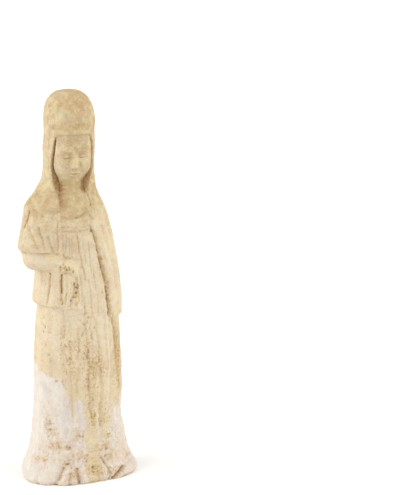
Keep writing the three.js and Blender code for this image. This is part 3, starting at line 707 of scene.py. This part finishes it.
def column_angle(column, z):
    """Angle of a column at height z: straight mixes between seams, some of which are the opening's edges."""
    minus_edge, plus_edge = edge_angles(z)
    order = ("back", "minus_side", "edge", "cut", "front", "cut", "edge", "plus_side", "back")
    counts = [COLUMNS[name] for name in order]
    seams = [
        np.full(z.shape, -180.0),
        np.full(z.shape, -float(SIDE_ANGLE)),
        minus_edge - EDGE_HALF_ANGLE,
        minus_edge + EDGE_HALF_ANGLE,
        minus_edge + CUT_END_ANGLE,
        plus_edge - CUT_END_ANGLE,
        plus_edge - EDGE_HALF_ANGLE,
        plus_edge + EDGE_HALF_ANGLE,
        np.full(z.shape, float(SIDE_ANGLE)),
        np.full(z.shape, 180.0),
    ]
    ends = np.cumsum([0] + counts)
    angle = np.zeros(z.shape)
    for start, end, left, right in zip(ends, ends[1:], seams, seams[1:]):
        inside = (column >= start) & (column <= end)
        angle = np.where(inside, blend(left, right, (column - start) / (end - start)), angle)
    return angle


ROW_CURVES = (
    ("foot", 0),
    ("foot roll", 12),
    ("low skirt", 38),
    ("under coat", 108),
    ("coat edge", 4),
    ("under arm", 22),
    ("under cuff", 26),
    ("cuff edge", 4),
    ("under drape", 30),
    ("drape edge", 3),
    ("neck", 22),
    ("brow", 66),
    ("brow edge", 4),
)
DOME_ROWS = 46


def row_height(row, angle):
    """Height of a row: straight mixes between curves that follow the hems, then equal steps along the dome."""
    hem, cuff, drape = coat_hem(angle), cuff_hem(angle), drape_hem(angle)
    level = np.ones(angle.shape)
    heights = [
        0 * level,
        3 * level,
        20 * level,
        hem - STEP_HALF_HEIGHT,
        hem + STEP_HALF_HEIGHT,
        cuff - 12,
        cuff - STEP_HALF_HEIGHT,
        cuff + STEP_HALF_HEIGHT,
        drape - STEP_HALF_HEIGHT,
        drape + STEP_HALF_HEIGHT,
        157 * level,
        (FACE_TOP - STEP_HALF_HEIGHT) * level,
        (FACE_TOP + STEP_HALF_HEIGHT) * level,
    ]
    ends = np.cumsum([steps for _, steps in ROW_CURVES])
    profile_z = np.linspace(FACE_TOP + STEP_HALF_HEIGHT, HEIGHT, 4001)
    risen = np.clip((profile_z - DOME_FROM) / (HEIGHT - DOME_FROM), 0, 1)
    profile_reach = CLOAK[-1][1] * dome(risen)
    length = np.concatenate([[0], np.cumsum(np.hypot(np.diff(profile_z), np.diff(profile_reach)))])
    up_dome = np.interp((row - ends[-1]) / DOME_ROWS * length[-1], length, profile_z)
    z = np.where(row > ends[-1], up_dome, 0.0)
    for start, end, low, high in zip(ends, ends[1:], heights, heights[1:]):
        inside = (row >= start) & (row <= end)
        z = np.where(inside, blend(low, high, (row - start) / (end - start)), z)
    return z


column_count = sum(COLUMNS.values()) + COLUMNS["back"] + COLUMNS["edge"] + COLUMNS["cut"]
row_count = sum(steps for _, steps in ROW_CURVES) + DOME_ROWS
column_index, row_index = np.meshgrid(np.arange(column_count), np.arange(row_count), indexing="ij")
surface_angle = column_angle(column_index, np.full(column_index.shape, HEIGHT / 2))
for _ in range(3):
    surface_z = row_height(row_index, surface_angle)
    surface_angle = column_angle(column_index, surface_z)
surface_z = row_height(row_index, surface_angle)
surface_level = levels(surface_z)
surface_reach = reach_along(surface_angle, surface_z, surface_level)
plain_x = np.sin(np.radians(surface_angle)) * surface_reach
plain_y = -np.cos(np.radians(surface_angle)) * surface_reach
minus_edge, plus_edge = surface_level["opening"]
in_face = (plain_x > minus_edge + 0.6) & (plain_x < plus_edge - 0.6) & (np.abs(surface_angle) < 70)
in_face &= (surface_z > CHIN_HEIGHT - 2) & (surface_z < FACE_TOP - 0.8)
features, feature_earth_and_shade = face_relief(plain_x - HEAD_X, surface_z - CHIN_HEIGHT)
grown = surface_reach + np.where(in_face, features, 0)
wander = lumps(plain_x, plain_y, surface_z, 2.6, 16) + 0.5 * lumps(plain_x, plain_y, surface_z, 1.1, 21)
wander *= FOLD_WANDER * (np.abs(surface_z - 165) > 24)
wandered_angle = surface_angle + np.degrees(wander / surface_reach)
fold_relief, fold_earth = pressed_folds(wandered_angle, surface_z - 0.5 * wander, surface_reach)
grown += fold_relief - face_cut(surface_angle, surface_z)
worn = worn_relief(plain_x, plain_y, surface_z, surface_angle, surface_reach)
grown += worn * smooth_step(surface_z, 0, 1.2) * (1 - smooth_step(surface_z, HEIGHT - 1, HEIGHT))
skin = np.stack([np.sin(np.radians(surface_angle)) * grown, -np.cos(np.radians(surface_angle)) * grown, surface_z], -1)


def skin_normals(points):
    """Outward normal at each point of the grid: the cross product of its steps round and up."""
    around = np.roll(points, -1, axis=0) - np.roll(points, 1, axis=0)
    upward = np.gradient(points, axis=1)
    normal = np.cross(around, upward)
    return normal / np.maximum(np.linalg.norm(normal, axis=-1, keepdims=True), 1e-9)


def hollowness(points, rounds):
    """How far each point lies below the mean of its surroundings, millimetres, after rounds of averaging."""
    mean = points.copy()
    for _ in range(rounds):
        padded = np.concatenate([mean[:, :1], mean, mean[:, -1:]], axis=1)
        mean = (np.roll(mean, 1, axis=0) + np.roll(mean, -1, axis=0) + padded[:, 2:] + padded[:, :-2]) / 4
    return ((mean - points) * skin_normals(points)).sum(-1)


fine_hollow = hollowness(skin, 6)
wide_hollow = hollowness(skin, 40)

SLIP_LINE = (
    (-180, 52), (-150, 58), (-125, 50), (-100, 60), (-79, 62.7), (-70, 61.4), (-59, 59.4), (-46, 57.6),
    (-36, 56.3), (-33.5, 51), (-28, 49), (-25, 44), (-23, 37), (-21, 37), (-18.5, 44), (-8, 46.5), (-2, 45),
    (1, 38), (4, 14), (5, 0), (25, 0), (27.5, 14), (28.5, 36), (29.5, 41), (31, 40), (32.5, 25), (42, 22),
    (47, 32), (56, 37), (68, 42), (90, 50), (112, 44), (140, 56), (180, 52),
)
EARTH = (
    (-31, 76, 3, 7, 0.65),
    (-26, 67, 3.5, 8, 0.7),
    (-17, 75, 6, 4, 0.75),
    (-5, 72, 5, 7, 0.5),
    (8, 69, 4.5, 9, 0.85),
    (16, 63, 6, 9, 0.9),
    (26, 64, 6, 9, 0.85),
    (33, 70, 3, 5, 0.5),
    (10, 54, 3, 9, 0.8),
    (14, 44, 3, 8, 0.8),
    (18.5, 36, 1.8, 6, 1),
    (-30, 58, 3, 6, 0.5),
    (-20, 60, 3, 5, 0.5),
    (5, 88, 2, 7, 0.5),
    (25, 55, 5, 6, 0.55),
    (-59, 33.5, 3, 5, 0.85),
    (-53, 29, 3, 4, 0.85),
    (-47, 21.5, 6, 3.4, 0.9),
    (-54, 14.5, 5, 2.6, 0.7),
    (-66, 13.5, 5, 2.2, 0.7),
    (-73, 12, 3, 1.6, 0.5),
    (-9, 25.5, 4, 2.8, 0.95),
    (-16, 28, 3, 2.6, 0.7),
    (-28, 20, 2.6, 2.4, 0.95),
    (-24, 14, 4, 4, 0.6),
    (-4, 15, 4, 3.6, 0.85),
    (37, 18, 4, 4, 1),
    (43, 13, 4, 3.4, 1),
    (-31, 11.4, 2.4, 1.2, 1),
    (-20, 5, 6, 4, 0.6),
    (72, 9.2, 3, 3.5, 0.8),
    (39, 5.4, 5, 2, 1),
    (47, 3, 6, 1.8, 1),
    (22, 6.6, 3.5, 2.8, 0.95),
    (13, 7.4, 4, 3.8, 0.9),
    (43, 24, 3, 2.2, 1),
    (38, 34, 4, 9, 0.5),
    (66, 66, 4, 18, 0.9),
    (-45, 14, 16, 8, 0.4),
    (-15, 14, 12, 9, 0.4),
    (60, 22, 8, 9, 0.4),
    (-26, 116.8, 5, 1.8, 0.8),
    (-11, 104, 2.4, 6, 0.9),
    (-15, 97, 4, 2, 0.6),
    (36, 115, 1.6, 16, 0.5),
    (34, 160, 3, 6, 0.7),
    (150, 28, 12, 12, 0.45),
    (161, 19, 5, 4, 0.4),
    (-140, 17, 14, 7, 0.45),
    (-118, 24, 4, 8, 0.4),
    (120, 9, 12, 4, 0.6),
    (102, 20, 4, 8, 0.4),
    (-165, 70, 8, 14, 0.5),
    (175, 110, 9, 14, 0.35),
)
RUST = (
    (-46, 21, 8, 5, 0.9),
    (-62, 13.5, 9, 3, 0.8),
    (-30, 14, 7, 5, 0.7),
    (-20, 22, 5, 4, 0.6),
    (-18, 6, 7, 5, 0.9),
    (-42, 4, 5, 3, 0.5),
    (36, 15, 6, 7, 0.6),
    (-23, 46, 3, 9, 0.55),
    (24, 62, 4, 8, 0.4),
    (60, 10, 9, 8, 0.7),
    (-150, 12, 12, 6, 0.7),
    (130, 20, 10, 8, 0.6),
)
BLUSH = (
    (-78, 100, 4, 5, 1),
    (-70, 97.5, 5, 3, 0.8),
    (5, 199, 8, 6, 1.4),
    (-30, 203, 6, 4, 0.9),
    (0, 190, 6, 5, 0.5),
    (-64, 17, 12, 9, 0.5),
    (-46, 113, 9, 4, 0.5),
    (-14, 130, 9, 7, 0.5),
    (34, 168, 2.5, 10, 0.9),
    (-52, 62, 9, 9, 0.3),
)
LEMON = (
    (-18, 111, 9, 4.5, 0.9),
    (58, 100, 6, 14, 0.7),
    (-4, 188, 4, 4, 0.6),
    (52, 131, 4, 8, 0.9),
    (48, 138, 4, 6, 0.7),
    (60, 125.5, 4, 6, 0.8),
    (63, 116, 4, 9, 0.6),
    (55, 147, 5, 5, 0.6),
    (-18, 112, 4.5, 3.4, 0.9),
    (-27, 117.5, 9, 2.6, 0.9),
    (-32, 102, 2.5, 6, 0.5),
    (64, 71, 3, 14, 0.6),
    (15, 16, 5, 12, 0.5),
    (14, 7, 5.5, 3, 1),
    (-57, 34, 3, 5, 0.6),
    (36, 42, 4, 12, 0.8),
    (-64, 88, 3, 9, 0.5),
    (-39, 5, 3, 4, 0.6),
    (-32, 192, 5, 6, 0.5),
    (30, 189, 3, 8, 0.5),
    (20, 152, 3, 4, 0.6),
)
GREY = (
    (31, 142.3, 1.6, 2, 1.3),
    (30, 144.8, 1.2, 1.2, 0.7),
    (-39, 118.4, 1.6, 1.2, 0.6),
    (-50, 131, 4, 5, 0.4),
    (10, 122, 5, 9, 0.4),
    (14, 108, 5, 7, 0.3),
    (-10, 108, 2, 3, 0.6),
    (-20, 190, 4, 6, 0.35),
    (28, 182, 3, 4, 0.4),
    (64, 76, 2, 12, 0.4),
    (-15, 24, 5, 20, 0.3),
    (-30, 40, 4, 10, 0.4),
)
# The tone table by height, darker above, and the tables of pale and dark patches set how light the clay is. Partly
# this is the clay's own colour and partly painted light and shade: the low tone at the neck and the chest and the dark
# spots there are painted shade, and the pale spots on the forearm are painted light.
TONE_AND_PAINTED_SHADE = (
    (158, 0.05), (150, 0.15), (143, 0.4), (137, 0.6), (128, 0.85), (95, 0.95), (70, 0.8), (0, 0.85),
)
PALE_AND_PAINTED_LIGHT = (
    (108, 178, 15, 28, 0.3),
    (-112, 178, 15, 28, 0.3),
    (180, 176, 14, 28, 0.2),
    (-52, 118, 14, 4, 0.4),
    (-44, 118.5, 9, 2.6, 0.5),
    (-48, 76, 14, 20, 0.3),
    (50, 105, 12, 20, 0.3),
    (34, 84, 3, 24, 0.35),
    (46, 70, 4, 16, 0.5),
    (8, 112, 7, 14, 0.3),
    (-85, 100, 9, 9, 0.2),
    (-40, 190, 5, 16, 0.2),
    (48, 188, 5, 16, 0.25),
    (-45, 168, 4, 12, 0.3),
    (-20, 166, 5, 5, 0.3),
    (22, 166, 3, 9, 0.3),
    (-2, 150, 3, 4, 0.25),
)
DARK_AND_PAINTED_SHADE = (
    (-56, 127.3, 18, 2.6, 0.45),
    (-66, 150, 12, 6, 0.4),
    (-62, 138, 10, 8, 0.25),
    (-45, 78, 12, 14, 0.15),
    (5, 190, 8, 12, 0.35),
    (6, 199, 8, 6, 1.05),
    (0, 154, 12, 8, 0.75),
    (0, 147, 14, 4, 0.85),
    (-14, 106, 3, 7, 0.2),
    (8, 66, 12, 18, 0.05),
    (61, 70, 2.5, 20, 0.8),
    (14, 9, 5, 6, 0.3),
)


# Patches of a thin film of dirt; those on the neck and the chest below the chin are painted shade.
FILM_AND_SHADE = (
    (6, 200, 10, 7, 0.68),
    (4, 187.8, 14, 4, 0.7),
    (-24, 121.2, 10, 1.4, 0.45),
    (-56, 127.2, 15, 1.8, 0.4),
    (25, 166, 3.5, 7, 0.3),
    (-25, 197, 5, 6, 0.25),
    (24, 151, 5, 6, 0.42),
    (-4, 151, 9, 7, 0.42),
    (-54, 152, 9, 7, 0.3),
    (8, 190, 4, 9, 0.2),
)
BARE = (
    (13, 6.5, 6.5, 3.6, 8),
    (14, 3.6, 5, 2, 6),
)


def face_cut_earth_and_shade(angle, z, reach):
    """Brown earth left in the deep cut round the face, with painted shade where it is widest and darkest beside the
    chin and the neck, and a film of painted shade on the chest below the chin.
    """
    minus_edge, plus_edge = edge_angles(z)
    held = 1 - smooth_step(z, FACE_TOP - 1.6, FACE_TOP + 0.2)
    from_minus = np.radians(angle - minus_edge) * reach
    from_plus = np.radians(plus_edge - angle) * reach
    beside_neck = smooth_step(z, 150, 156) * (1 - smooth_step(z, 163, 169))
    on_minus = smooth_step(z, 146, 158) * np.exp(-(((from_minus - 0.5) / (0.8 + 0.4 * beside_neck)) ** 2))
    on_plus = smooth_step(z, 148, 156) * np.exp(-(((from_plus - 0.8 - 0.6 * beside_neck) / (0.65 + 2.3 * beside_neck)) ** 2))
    below_chin = smooth_step(z, 143, 149) * (1 - smooth_step(z, 158, 164))
    film = 0.85 * below_chin * smooth_step(from_minus, -0.4, 1) * np.exp(-(((from_minus - 1) / 5) ** 2))
    return held * np.maximum(film, np.maximum(on_minus, (0.75 + 0.25 * beside_neck) * on_plus))


def slip_height(angle):
    """Height of the upper edge of the white slip, read straight between the places of its table."""
    return np.interp(angle, *zip(*SLIP_LINE))


def slip_depth(angle, z, reach, wander):
    """Distance below the ragged edge of the slip, millimetres over the surface. The drop to the edge is
    shortened where the edge runs steeply, and divided where the slip thins out softly on her left."""
    edge = slip_height(angle + wander)
    steepness = (slip_height(angle + wander + 1) - edge) / (np.radians(1) * reach)
    softness = 1 + 3.5 * smooth_step(angle, 36, 50) * (1 - smooth_step(angle, 120, 150))
    return (edge - z) / np.hypot(1, steepness) / softness


wander_wide = lumps(plain_x, plain_y, surface_z, 6, 18)
wander_fine = lumps(plain_x, plain_y, surface_z, 1.8, 19)
slip_wander = 1.8 * wander_wide + 0.7 * wander_fine
slip_runs = 3.2 * lumps(plain_x, plain_y, surface_z / 5, 3, 20) * smooth_step(np.abs(surface_angle), 72, 95)
# How light the clay is: partly its own tone, partly painted light and shade.
tone_light_and_shade = np.interp(surface_z, *zip(*sorted(TONE_AND_PAINTED_SHADE)))
tone_light_and_shade += patches(PALE_AND_PAINTED_LIGHT, surface_angle, surface_z, surface_reach)
tone_light_and_shade -= patches(DARK_AND_PAINTED_SHADE, surface_angle, surface_z, surface_reach)
in_chips = 0.9 * patches(ALL_CHIPS, surface_angle, surface_z, surface_reach)
# A thin painted shadow along the bottom edge, where she meets the floor.
shadow_along_foot = 0.6 * (1 - smooth_step(surface_z, 0.2, 1.7 + 0.6 * wander_fine))
# Earth in the cut round the face, with painted shade beside the neck and on the chest below the chin.
groove = face_cut_earth_and_shade(surface_angle, surface_z, surface_reach)
film = patches(FILM_AND_SHADE, surface_angle, surface_z, surface_reach)
# Earth in the folds, chips and features' lines, together with the painted shade of the face cut, the neck and chest
# and the foot's edge; the strongest counts.
dirt_and_painted_shade = np.maximum.reduce([fold_earth, in_chips, groove, film, shadow_along_foot, np.where(in_face, feature_earth_and_shade, 0)])
bare = patches(BARE, surface_angle, surface_z, surface_reach)
marks = {
    "slip": slip_depth(surface_angle, surface_z, surface_reach, slip_wander) + slip_runs - bare,
    "earth": patches(EARTH, surface_angle, surface_z, surface_reach),
    "rust": patches(RUST, surface_angle, surface_z, surface_reach),
    "blush": patches(BLUSH, surface_angle, surface_z, surface_reach),
    "lemon": patches(LEMON, surface_angle, surface_z, surface_reach),
    "grey": patches(GREY, surface_angle, surface_z, surface_reach),
    "tone_light_and_shade": tone_light_and_shade,
    "dirt_and_painted_shade": dirt_and_painted_shade,
    "groove": groove,
    "hollow": np.clip(fine_hollow / 0.35, -1, 1) * 0.6 + np.clip(wide_hollow / 1.2, -1, 1) * 0.6,
}

TIGHT = 0.985
foot_ring = skin[:, :1] * (TIGHT, TIGHT, 1)
rings = np.concatenate([foot_ring, skin], axis=1)
ring_count = row_count + 1
points = np.concatenate([rings.reshape(-1, 3), [(0, 0, 0), (*DOME_SHIFT, HEIGHT)]])
foot_middle = len(points) - 2
top_point = len(points) - 1
here = np.arange(column_count) * ring_count
after = np.roll(here, -1)
low, low_next = (here[:, None] + np.arange(ring_count - 1)), (after[:, None] + np.arange(ring_count - 1))
quads = np.stack([low, low_next, low_next + 1, low + 1], -1).reshape(-1, 4)
foot_fan = np.stack([here, np.full(column_count, foot_middle), after], -1)
top_fan = np.stack([here + ring_count - 1, after + ring_count - 1, np.full(column_count, top_point)], -1)
mesh = bpy.data.meshes.new("clay_lady")
mesh.from_pydata((points * MILLIMETRE).tolist(), [], quads.tolist() + foot_fan.tolist() + top_fan.tolist())
mesh.shade_smooth()
for name, values in marks.items():
    padded = np.concatenate([values[:, :1], values], axis=1).reshape(-1)
    filled = np.concatenate([padded, [values[:, 0].mean(), values[:, -1].mean()]])
    mesh.attributes.new(name, "FLOAT", "POINT").data.foreach_set("value", filled.astype(np.float32))
lady = bpy.data.objects.new("clay_lady", mesh)
bpy.context.scene.collection.objects.link(lady)


# The finish: porous buff clay with rosy and yellow clouds and a tone that is partly painted light and shade, a thin
# white slip left on the lower skirt, tan earth in streaks over it, brown dirt in the cuts and pits with painted shade
# in the cut round the face, on the neck and chest, in the features' lines and along the foot, and a fine sandy grain.
# It is matt all over.
CLAY_BUFF = (0.425, 0.31, 0.16)
CLAY_PALE = (0.637, 0.54, 0.405)
CLAY_ROSE = (0.54, 0.37, 0.235)
CLAY_LEMON = (0.60, 0.52, 0.31)
SLIP_WHITE = (0.64, 0.595, 0.54)
SLIP_LILAC = (0.575, 0.52, 0.49)
EARTH_TAN = (0.46, 0.325, 0.17)
EARTH_ROSE = (0.54, 0.375, 0.25)
CUT_TAN = (0.42, 0.285, 0.138)
# Brown for dirt, also used for painted shade in the cut round the face, beside the neck and along the foot.
BROWN_DIRT_AND_SHADE = (0.235, 0.137, 0.056)
GROOVE_BROWN = (0.245, 0.118, 0.038)
CLAY_GREY = (0.42, 0.4, 0.31)
FLECK_ROSE = (0.6, 0.395, 0.255)
EARTH_OCHRE = (0.42, 0.27, 0.105)

finish = bpy.data.materials.new("fired_clay")
finish.use_nodes = True
nodes = finish.node_tree.nodes
links = finish.node_tree.links
shader = nodes["Principled BSDF"]
shader.inputs["Metallic"].default_value = 0
shader.inputs["Specular IOR Level"].default_value = 0.25
place = nodes.new("ShaderNodeTexCoord").outputs["Object"]


def plug(socket, value):
    """Puts a number, a colour or another node's output into a socket."""
    if isinstance(value, bpy.types.NodeSocket):
        links.new(value, socket)
    elif isinstance(value, tuple):
        socket.default_value = (*value, 1)
    else:
        socket.default_value = value


def mark(name):
    """One of the marks kept on the points of the skin."""
    node = nodes.new("ShaderNodeAttribute")
    node.attribute_name = name
    return node.outputs["Fac"]


def cloud(size, detail=3, roughness=0.55, where=None):
    """Noise from 0 to 1 whose lumps are about size millimetres across."""
    node = nodes.new("ShaderNodeTexNoise")
    plug(node.inputs["Vector"], where or place)
    node.inputs["Scale"].default_value = 1 / (size * MILLIMETRE)
    node.inputs["Detail"].default_value = detail
    node.inputs["Roughness"].default_value = roughness
    return node.outputs["Fac"]


def flecks(size):
    """Three noises from 0 to 1 that don't follow each other, whose lumps are about size millimetres across."""
    parts = nodes.new("ShaderNodeSeparateColor")
    links.new(cloud(size, 2, 0.5).node.outputs["Color"], parts.inputs["Color"])
    return parts.outputs


def sum_of(a, b, kind="ADD"):
    """Two values added, or joined by another kind of sum."""
    node = nodes.new("ShaderNodeMath")
    node.operation = kind
    plug(node.inputs[0], a)
    plug(node.inputs[1], b)
    return node.outputs[0]


def times(a, b):
    """Two values multiplied."""
    return sum_of(a, b, "MULTIPLY")


def rise(value, start, end, low=0.0, high=1.0):
    """Smooth step of a value: low at start and high at end."""
    node = nodes.new("ShaderNodeMapRange")
    node.interpolation_type = "SMOOTHSTEP"
    plug(node.inputs["Value"], value)
    node.inputs["From Min"].default_value = start
    node.inputs["From Max"].default_value = end
    node.inputs["To Min"].default_value = low
    node.inputs["To Max"].default_value = high
    return node.outputs["Result"]


def tint(below, above, amount, kind="MIX"):
    """One colour laid over another by an amount."""
    node = nodes.new("ShaderNodeMix")
    node.data_type = "RGBA"
    node.blend_type = kind
    plug(node.inputs[0], amount)
    plug(node.inputs[6], below)
    plug(node.inputs[7], above)
    return node.outputs[2]


def stretched(height):
    """The place on the figure with its height divided, for clouds that run down as streaks."""
    node = nodes.new("ShaderNodeMapping")
    plug(node.inputs["Vector"], place)
    node.inputs["Scale"].default_value = (1, 1, 1 / height)
    return node.outputs["Vector"]


broad = cloud(19, 2)
middling = cloud(6, 4, 0.6)
patchy = cloud(2.4, 4, 0.62)
fine = cloud(1.1, 4, 0.65)
sandy = cloud(0.55, 3, 0.6)
running = cloud(2.2, 4, 0.6, stretched(3.2))
clouding = sum_of(rise(middling, 0.32, 0.68, -0.25, 0.25), rise(patchy, 0.32, 0.68, -0.15, 0.15))
clouding = sum_of(clouding, rise(fine, 0.32, 0.68, -0.17, 0.17))
# Buff and pale clay mixed by the tone, which holds painted light and shade as well as the clay's own tone.
base = tint(CLAY_BUFF, CLAY_PALE, rise(sum_of(mark("tone_light_and_shade"), clouding), -0.35, 1.25))
rosy = times(rise(sum_of(broad, times(mark("blush"), 0.45)), 0.48, 0.85), rise(patchy, 0.35, 0.65, 0.1, 1))
base = tint(base, CLAY_ROSE, times(rosy, 0.65))
lemon = times(rise(sum_of(times(mark("lemon"), 0.4), broad, "SUBTRACT"), -0.5, -0.1), rise(middling, 0.4, 0.6, 0.2, 1))
base = tint(base, CLAY_LEMON, times(lemon, 0.6))
greyish = times(rise(sum_of(mark("grey"), patchy), 0.45, 1.1), rise(fine, 0.35, 0.65, 0.3, 1))
base = tint(base, CLAY_GREY, times(greyish, 0.5))
green_fleck, rosy_fleck, lemon_fleck = flecks(3.2)
base = tint(base, CLAY_GREY, times(rise(green_fleck, 0.48, 0.7), 0.34))
base = tint(base, FLECK_ROSE, times(rise(rosy_fleck, 0.48, 0.7), 0.42))
base = tint(base, CLAY_LEMON, times(rise(lemon_fleck, 0.44, 0.66), 0.6))
edge_wobble = sum_of(rise(patchy, 0.3, 0.7, -0.7, 0.7), rise(fine, 0.3, 0.7, -0.5, 0.5))
slip_edge = sum_of(mark("slip"), edge_wobble)
slip = rise(slip_edge, -0.9, 1.1)
flaked = rise(sum_of(sum_of(patchy, times(fine, 0.5)), times(mark("earth"), 0.22)), 0.9, 1.1)
slip_colour = tint(SLIP_WHITE, SLIP_LILAC, rise(sum_of(running, times(mark("grey"), 0.3)), 0.4, 0.7))
grey_stain, rosy_stain, lemon_stain = flecks(4)
slip_colour = tint(slip_colour, FLECK_ROSE, times(rise(rosy_stain, 0.48, 0.72), 0.3))
slip_colour = tint(slip_colour, CLAY_LEMON, times(rise(lemon_stain, 0.48, 0.72), 0.3))
slip_colour = tint(slip_colour, CLAY_GREY, times(rise(grey_stain, 0.5, 0.75), 0.2))
base = tint(base, slip_colour, times(slip, sum_of(0.96, times(flaked, 0.8), "SUBTRACT")))
rosy_earth = times(mark("rust"), rise(sum_of(patchy, times(fine, 0.4)), 0.48, 0.82))
base = tint(base, EARTH_ROSE, times(rosy_earth, 0.7))
spots = cloud(1.15, 2, 0.5)
density = sum_of(times(mark("earth"), 0.26), rise(patchy, 0.35, 0.65, -0.07, 0.07))
film = times(mark("earth"), rise(running, 0.35, 0.6, 0.2, 1))
base = tint(base, EARTH_TAN, times(film, 0.3))
ochre = times(rise(sum_of(spots, density), 0.66, 0.74), rise(mark("earth"), 0.0, 0.3, 0.25, 1))
base = tint(base, EARTH_OCHRE, times(ochre, rise(slip, 0, 1, 0.55, 0.4)))
specks = rise(sum_of(fine, times(middling, 0.25)), 0.82, 0.92)
base = tint(base, EARTH_TAN, times(specks, 0.6))
dark_specks = times(rise(sum_of(spots, times(density, 0.8)), 0.77, 0.84), rise(mark("earth"), 0.0, 0.4, 0.3, 1))
base = tint(base, BROWN_DIRT_AND_SHADE, times(dark_specks, rise(slip, 0, 1, 0.5, 0.35)))
# Tan and brown laid over the clay by that mark and the hollows: earth, and in places painted shade.
in_cut = sum_of(mark("dirt_and_painted_shade"), times(mark("hollow"), 0.3))
in_cut = sum_of(in_cut, rise(fine, 0.3, 0.7, -0.26, 0.26))
base = tint(base, CUT_TAN, times(rise(in_cut, 0.12, 0.9), 0.85))
base = tint(base, BROWN_DIRT_AND_SHADE, times(rise(in_cut, 0.6, 1.2), 0.9))
# Deepest brown in the cut round the face: earth there, and painted shade beside the neck.
base = tint(base, GROOVE_BROWN, times(rise(mark("groove"), 0.7, 1.15), 0.5))
base = tint(base, tint((0.3, 0.3, 0.3), (0.7, 0.7, 0.7), rise(sandy, 0.3, 0.7)), 0.45, "SOFT_LIGHT")
plug(shader.inputs["Base Color"], base)
plug(shader.inputs["Roughness"], rise(fine, 0.3, 0.7, 0.84, 0.96))
bump = nodes.new("ShaderNodeBump")
bump.inputs["Strength"].default_value = 0.5
bump.inputs["Distance"].default_value = 0.16 * MILLIMETRE
rough = sum_of(sum_of(fine, times(sandy, 0.5)), times(dark_specks, -1.0))
plug(bump.inputs["Height"], sum_of(rough, times(slip, 0.7)))
plug(shader.inputs["Normal"], bump.outputs["Normal"])
mesh.materials.append(finish)

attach(lady, "root")
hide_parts("figurine")


# The surface she stands on: a plain pale round floor, wide enough to fill the picture behind her.
FLOOR_RADIUS = 6
FLOOR_SIDES = 96
FLOOR_COLOUR = (0.93, 0.93, 0.92)
turn = np.linspace(0, 2 * np.pi, FLOOR_SIDES, endpoint=False)
rim = np.stack([np.cos(turn), np.sin(turn), 0 * turn], -1) * FLOOR_RADIUS
floor_mesh = bpy.data.meshes.new("floor")
floor_mesh.from_pydata(rim.tolist(), [], [list(range(FLOOR_SIDES))])
floor_paint = bpy.data.materials.new("pale_floor")
floor_paint.use_nodes = True
floor_shader = floor_paint.node_tree.nodes["Principled BSDF"]
floor_shader.inputs["Base Color"].default_value = (*FLOOR_COLOUR, 1)
floor_shader.inputs["Roughness"].default_value = 0.9
floor_mesh.materials.append(floor_paint)
floor = bpy.data.objects.new("floor", floor_mesh)
bpy.context.scene.collection.objects.link(floor)


# Plain studio light: a pale surround and two large soft lights, one from each side and a little above.
SURROUND = (1.0, 0.995, 0.985)
SURROUND_STRENGTH = 0.74
SOFT_LIGHTS = {
    "soft_light_minus": {"azimuth": -88, "elevation": 30, "strength": 2.1},
    "soft_light_plus": {"azimuth": 62, "elevation": 26, "strength": 1.75},
}
SOFT_LIGHT_SPREAD = 66
SOFT_LIGHT_COLOUR = (1.0, 0.99, 0.97)


def towards(azimuth, elevation):
    """Unit vector from the figure to a place: azimuth from her front towards +X, elevation up, degrees."""
    around, up = math.radians(azimuth), math.radians(elevation)
    return Vector((math.sin(around) * math.cos(up), -math.cos(around) * math.cos(up), math.sin(up)))


world = bpy.data.worlds.new("studio")
world.use_nodes = True
world.node_tree.nodes["Background"].inputs["Color"].default_value = (*SURROUND, 1)
world.node_tree.nodes["Background"].inputs["Strength"].default_value = SURROUND_STRENGTH
bpy.context.scene.world = world
for name, made in SOFT_LIGHTS.items():
    light = bpy.data.lights.new(name, "SUN")
    light.energy = made["strength"]
    light.angle = math.radians(SOFT_LIGHT_SPREAD)
    light.color = SOFT_LIGHT_COLOUR
    lamp = bpy.data.objects.new(name, light)
    lamp.rotation_euler = towards(made["azimuth"], made["elevation"]).to_track_quat("Z", "Y").to_euler()
    bpy.context.scene.collection.objects.link(lamp)
bpy.context.scene.view_settings.view_transform = "Standard"


# The camera: a long lens a little to her right and above her waist. It aims past her, because she stands
# at the left of the picture.
CAMERA_AZIMUTH = -14
CAMERA_ELEVATION = 15
CAMERA_DISTANCE = 0.8087
WAIST_HEIGHT = 0.1011
AIM = (0.06802, -0.01158, 0.12057)
LENS = 112.73
SENSOR = 36

camera_data = bpy.data.cameras.new("camera")
camera_data.lens = LENS
camera_data.sensor_width = SENSOR
camera = bpy.data.objects.new("camera", camera_data)
camera.location = Vector((0, 0, WAIST_HEIGHT)) + towards(CAMERA_AZIMUTH, CAMERA_ELEVATION) * CAMERA_DISTANCE
camera.rotation_euler = (Vector(AIM) - camera.location).to_track_quat("-Z", "Y").to_euler()
bpy.context.scene.collection.objects.link(camera)
bpy.context.scene.camera = camera
